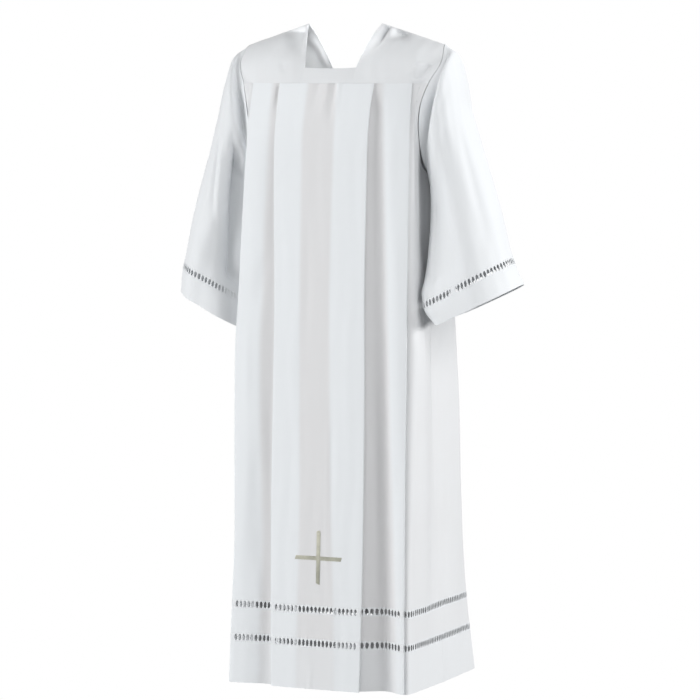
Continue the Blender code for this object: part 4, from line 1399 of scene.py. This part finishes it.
@dataclass
class Yoke:
    """Front or back yoke."""

    side: Side
    cloth: bpy.types.Material
    thread: bpy.types.Material
    columns: int = 56
    rows: int = 48
    edge: float = 0.07          # share of a strap over which creases fade in from its edges
    bulge: float = 11.0         # how far the middle of a strap stands out
    bulge_corner: float = 0.8   # below 1 the bulge is fuller towards neck and armhole
    ripple: float = 0.9
    ripple_fall: float = 4.0    # how much faster ripples change downwards than on the body
    strap_way: tuple[float, float] = (0.82, 0.57)       # which way a strap faces, along Y and up
    seam_way: tuple[float, float] = (0.97, 0.24)        # and the cloth beside the seams
    weld: float = 0.00005       # points nearer than this are merged, in metres
    flat: Cut = Cut(0.47, 0.19, 0.75)
    stitch: float = 2.6         # distance from one stitch to the next
    stitch_share: float = 0.75  # share of it that a stitch fills
    stitch_radius: float = 0.3
    lift: float = 0.7           # stitches lie this far out
    strip_rows: tuple[float, float] = (0.1, 0.93)       # rows below the neckline and above the seam
    strap_neck: float = 0.03    # row beside a strap's neck edge
    strap_seam: float = 0.983   # row above a strap's seam
    row_ends: tuple[float, float] = (0.02, 0.98)
    samples: int = 120          # points taken along a row of stitches

    def facing(self, way: tuple[float, float]) -> Array:
        """A direction given along Y and up, turned outwards on this side."""
        return np.array((0.0, way[0] * self.side.outward, way[1]))

    def relief(self, points: Array, across: Array, share: Array) -> Array:
        """How the creases move a strap's points; its edges stay where they are."""
        free = 1.0
        for place in (across, 1 - across, share, 1 - share):
            free = free * ramp(place / self.edge)
        lift = free * Ripple(self.ripple).height(points[:, 0], points[:, 2] * self.ripple_fall)
        lift += self.bulge * np.sin(math.pi * share) * np.sin(math.pi * across) ** self.bulge_corner
        for crease in YOKE_CREASES[self.side]:
            lift += free * crease.height(points[:, 0], points[:, 2])
        return lift[:, None] * self.facing(self.strap_way)

    def build(self) -> None:
        """Make and dress the yoke."""
        surface = YokeSurface(self.side, BodySurface(self.side, ()))
        shares = np.linspace(0, 1, self.rows + 1)
        across, share = (grid.ravel() for grid in np.meshgrid(np.linspace(0, 1, self.columns + 1), shares))
        strap = surface.strap(across, share)
        front = self.side is Side.FRONT
        pieces = []
        for hand in Hand:
            points = strap * np.array((hand.sign, 1.0, 1.0))
            points += self.relief(points, across, share)
            grid = points.reshape(self.rows + 1, self.columns + 1, 3)
            pieces.append(grid_piece(f"strap_{hand.value}", grid, flip=front is (hand is Hand.LEFT)))
        low = shares[shares >= surface.neck_row - TINY]
        across, share = (grid.ravel() for grid in np.meshgrid(
            np.linspace(-1, 1, self.columns + 1), (low - surface.neck_row) / (1 - surface.neck_row)))
        strip = surface.strip(across, share).reshape(len(low), self.columns + 1, 3)
        pieces.append(grid_piece("neck_strip", strip, flip=front))
        piece = joined(pieces, f"yoke_{self.side.value}_cloth", self.weld)
        thicken(piece, YOKE_THICK)
        place_piece(piece, self.cloth, [f"yoke_{self.side.value}"], self.flat)
        place_piece(self.topstitching(surface), self.thread)

    def topstitching(self, surface: YokeSurface) -> bpy.types.Object:
        """Rows of stitches just inside the neckline and just above the yoke's seam."""
        work = StitchWork(f"yoke_stitching_{self.side.value}", self.stitch_radius)
        one, part = np.ones(self.samples), np.linspace(*self.row_ends, self.samples)
        rows = [surface.strip(part * 2 - 1, share * one) for share in self.strip_rows]
        for hand in Hand:
            mirror = np.array((hand.sign, 1.0, 1.0))
            rows += [surface.strap(self.strap_neck * one, part * surface.neck_row) * mirror,
                     surface.strap(part, self.strap_seam * one) * mirror]
        normals = np.tile(self.facing(self.seam_way), (self.samples, 1))
        for row in rows:
            work.add(row + normals * self.lift, normals, self.stitch, self.stitch * self.stitch_share)
        return work.build()


@dataclass
class Cross:
    """Embroidered cross low on the front panel."""

    thread: bpy.types.Material
    surface: BodySurface
    x: float = 3.0
    z: float = -1163.0
    tall: float = 112.0
    wide: float = 110.0
    bar: float = 10.5           # width of a bar
    lifts: tuple[float, float, float] = (0.35, 0.1, 0.6)        # upright, crossbar and knot, over the cloth
    knot: float = 3.2           # radius of the knot on top
    knot_bar: float = 0.4       # its width as a share of a bar's
    pitch: float = 1.0
    radius: float = 0.6
    slant: float = math.radians(70)
    samples: int = 80

    def satin(self, work: StitchWork, x: Array, z: Array, lift: float, bar: float) -> None:
        """Lay slanting stitches as wide as a bar along a path on the panel.

        Args:
            work: what they are added to.
            x: X of the path's points.
            z: their heights.
            lift: how far they lie over the panel's outer face.
            bar: width of the row.
        """
        row = self.surface.section(z)
        path = self.surface.points(x / np.where(x >= 0, row["panel_l"], row["panel_r"]), z)
        path[:, 1] -= CLOTH_THICK / 2
        path[:, 1] -= lift
        normals = np.tile((0.0, -1.0, 0.0), (len(path), 1))
        work.add(path, normals, self.pitch, bar / math.sin(self.slant), self.slant)

    def build(self) -> None:
        """Make and dress the cross."""
        work = StitchWork("front_cross_embroidery", self.radius)
        upright, crossbar, knot = self.lifts
        fixed = np.zeros(self.samples)
        along = np.linspace(-self.tall / 2, self.tall / 2, self.samples)
        self.satin(work, self.x + fixed, self.z + along, upright, self.bar)
        along = np.linspace(-self.wide / 2, self.wide / 2, self.samples)
        self.satin(work, self.x + along, self.z + fixed, crossbar, self.bar)
        turn = np.linspace(0, 2 * math.pi, self.samples // 2)
        self.satin(work, self.x + self.knot * np.cos(turn), self.z + self.tall / 2 + self.knot * np.sin(turn),
                   knot, self.bar * self.knot_bar)
        place_piece(work.build(), self.thread, ["front_cross"])


# ---- camera, light and floor ----
def stand(aim: Sequence[float], azimuth: float, rise: float, distance: float) -> list[float]:
    """Place from which a lamp sees its aim at some distance; azimuth from the front towards +X."""
    level = distance * math.cos(rise)
    steps = (level * math.sin(azimuth), -level * math.cos(azimuth), distance * math.sin(rise))
    return [start + step for start, step in zip(aim, steps)]


@dataclass(frozen=True)
class Lamp:
    """Soft oblong light: azimuth from the robe's front towards +X and rise in degrees, sizes in metres."""

    name: str
    azimuth: float
    rise: float
    distance: float
    wide: float
    tall: float
    bright: float


@dataclass(frozen=True)
class NeckLamp:
    """Small spot that shines in through the neckline on the inside of the back yoke."""

    azimuth: float = math.radians(45)
    rise: float = math.radians(12)
    distance: float = 3.0
    cone: float = math.radians(2.4)
    blend: float = 0.6
    size: float = 0.03
    bright: float = 1.3
    aim: tuple[float, float, float] = (-0.078, 0.055, -0.045)

    def build(self) -> None:
        """Add the spot."""
        place = stand(self.aim, self.azimuth, self.rise, self.distance)
        bpy.ops.object.light_add(type="SPOT", location=place,
                                 rotation=(math.pi / 2 - self.rise, 0.0, self.azimuth))
        light = bpy.context.active_object
        light.name = "neck_light"
        light.data.spot_size, light.data.spot_blend = self.cone, self.blend
        light.data.shadow_soft_size = self.size
        light.data.energy = self.bright * (2 * math.pi * self.distance) ** 2


@dataclass(frozen=True)
class Studio:
    """Camera, soft lights, a pale floor and a white surround; sizes in metres."""

    azimuth: float = math.radians(23.818)
    distance: float = 7.614
    height: float = -0.071
    pitch: float = math.radians(4.862)
    yaw: float = math.radians(-0.0772)
    lens: float = 177.73        # millimetres, as is the sensor
    sensor: float = 36.0
    far: float = 100.0          # the camera sees no further than this
    floor_size: float = 60.0
    floor_z: float = -1.56
    surround_radius: float = 28.0
    aim: tuple[float, float, float] = (0.0, 0.0, -0.7)
    ambient: float = 0.20
    ambient_colour: Colour = (0.97, 0.985, 1.0, 1.0)
    lamps: tuple[Lamp, ...] = (
        Lamp("key_light", -54, -3, 8.0, 4.2, 1.3, 0.78),
        Lamp("front_light", 8, 26, 8.0, 4.2, 4.2, 0.17),
        Lamp("side_light", 62, 26, 8.0, 4.2, 4.2, 0.48),
        Lamp("rear_side_light", 108, 14, 8.0, 4.2, 3.0, 0.60),
        Lamp("back_light", 190, 24, 9.0, 4.5, 4.5, 0.45),
    )

    def camera(self) -> None:
        """Set the camera."""
        place = (self.distance * math.sin(self.azimuth), -self.distance * math.cos(self.azimuth), self.height)
        bpy.ops.object.camera_add(location=place)
        camera = bpy.context.active_object
        camera.name = "camera"
        camera.rotation_euler = (math.pi / 2 - self.pitch, 0.0, self.azimuth + self.yaw)
        camera.data.lens, camera.data.sensor_width = self.lens, self.sensor
        camera.data.clip_end = self.far
        bpy.context.scene.camera = camera

    def light(self, lamp: Lamp) -> None:
        """Add one soft light aimed at the robe's middle."""
        azimuth, rise = math.radians(lamp.azimuth), math.radians(lamp.rise)
        bpy.ops.object.light_add(type="AREA", location=stand(self.aim, azimuth, rise, lamp.distance),
                                 rotation=(math.pi / 2 - rise, 0.0, azimuth))
        light = bpy.context.active_object
        light.name = lamp.name
        light.data.shape = "RECTANGLE"
        light.data.size, light.data.size_y = lamp.wide, lamp.tall
        # The light on a face that looks straight at the lamp is bright times pi.
        light.data.energy = lamp.bright * (math.pi * lamp.distance) ** 2

    def surroundings(self) -> None:
        """Add the floor and the white surround, which only the camera sees."""
        bpy.ops.mesh.primitive_plane_add(size=self.floor_size, location=(0, 0, self.floor_z))
        floor = bpy.context.active_object
        floor.name = "studio_floor"
        bpy.ops.mesh.primitive_uv_sphere_add(radius=self.surround_radius, segments=48, ring_count=24)
        surround = bpy.context.active_object
        surround.name = "studio_surround"
        white = StageFinish().build()
        for piece in (floor, surround):
            piece.data.materials.append(white)
            piece.visible_diffuse = piece.visible_glossy = piece.visible_transmission = False
            piece.visible_shadow = False

    def air(self) -> None:
        """Dim light from all round."""
        scene = bpy.context.scene
        scene.view_settings.view_transform = "Standard"
        world = bpy.data.worlds.new("studio")
        world.use_nodes = True
        scene.world = world
        background = world.node_tree.nodes["Background"]
        background.inputs["Color"].default_value = self.ambient_colour
        background.inputs["Strength"].default_value = self.ambient

    def build(self) -> None:
        """Set the whole studio."""
        self.camera()
        self.surroundings()
        self.air()
        for lamp in self.lamps:
            self.light(lamp)
        NeckLamp().build()


def main() -> None:
    """Dress the robe piece by piece."""
    logging.basicConfig(level=logging.INFO, format="%(message)s")
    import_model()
    cloth = ClothFinish().build()
    gold = CROSS_THREAD.build()
    white = SEWING_THREAD.build()
    for side in Side:
        Yoke(side, cloth, white).build()
    front = Body(Side.FRONT, cloth, white)
    front.build()
    Body(Side.BACK, cloth, white).build()
    for hand in Hand:
        Sleeve(hand, cloth, white).build()
    Cross(gold, front.surface).build()
    Studio().build()


if __name__ == "__main__":
    main()
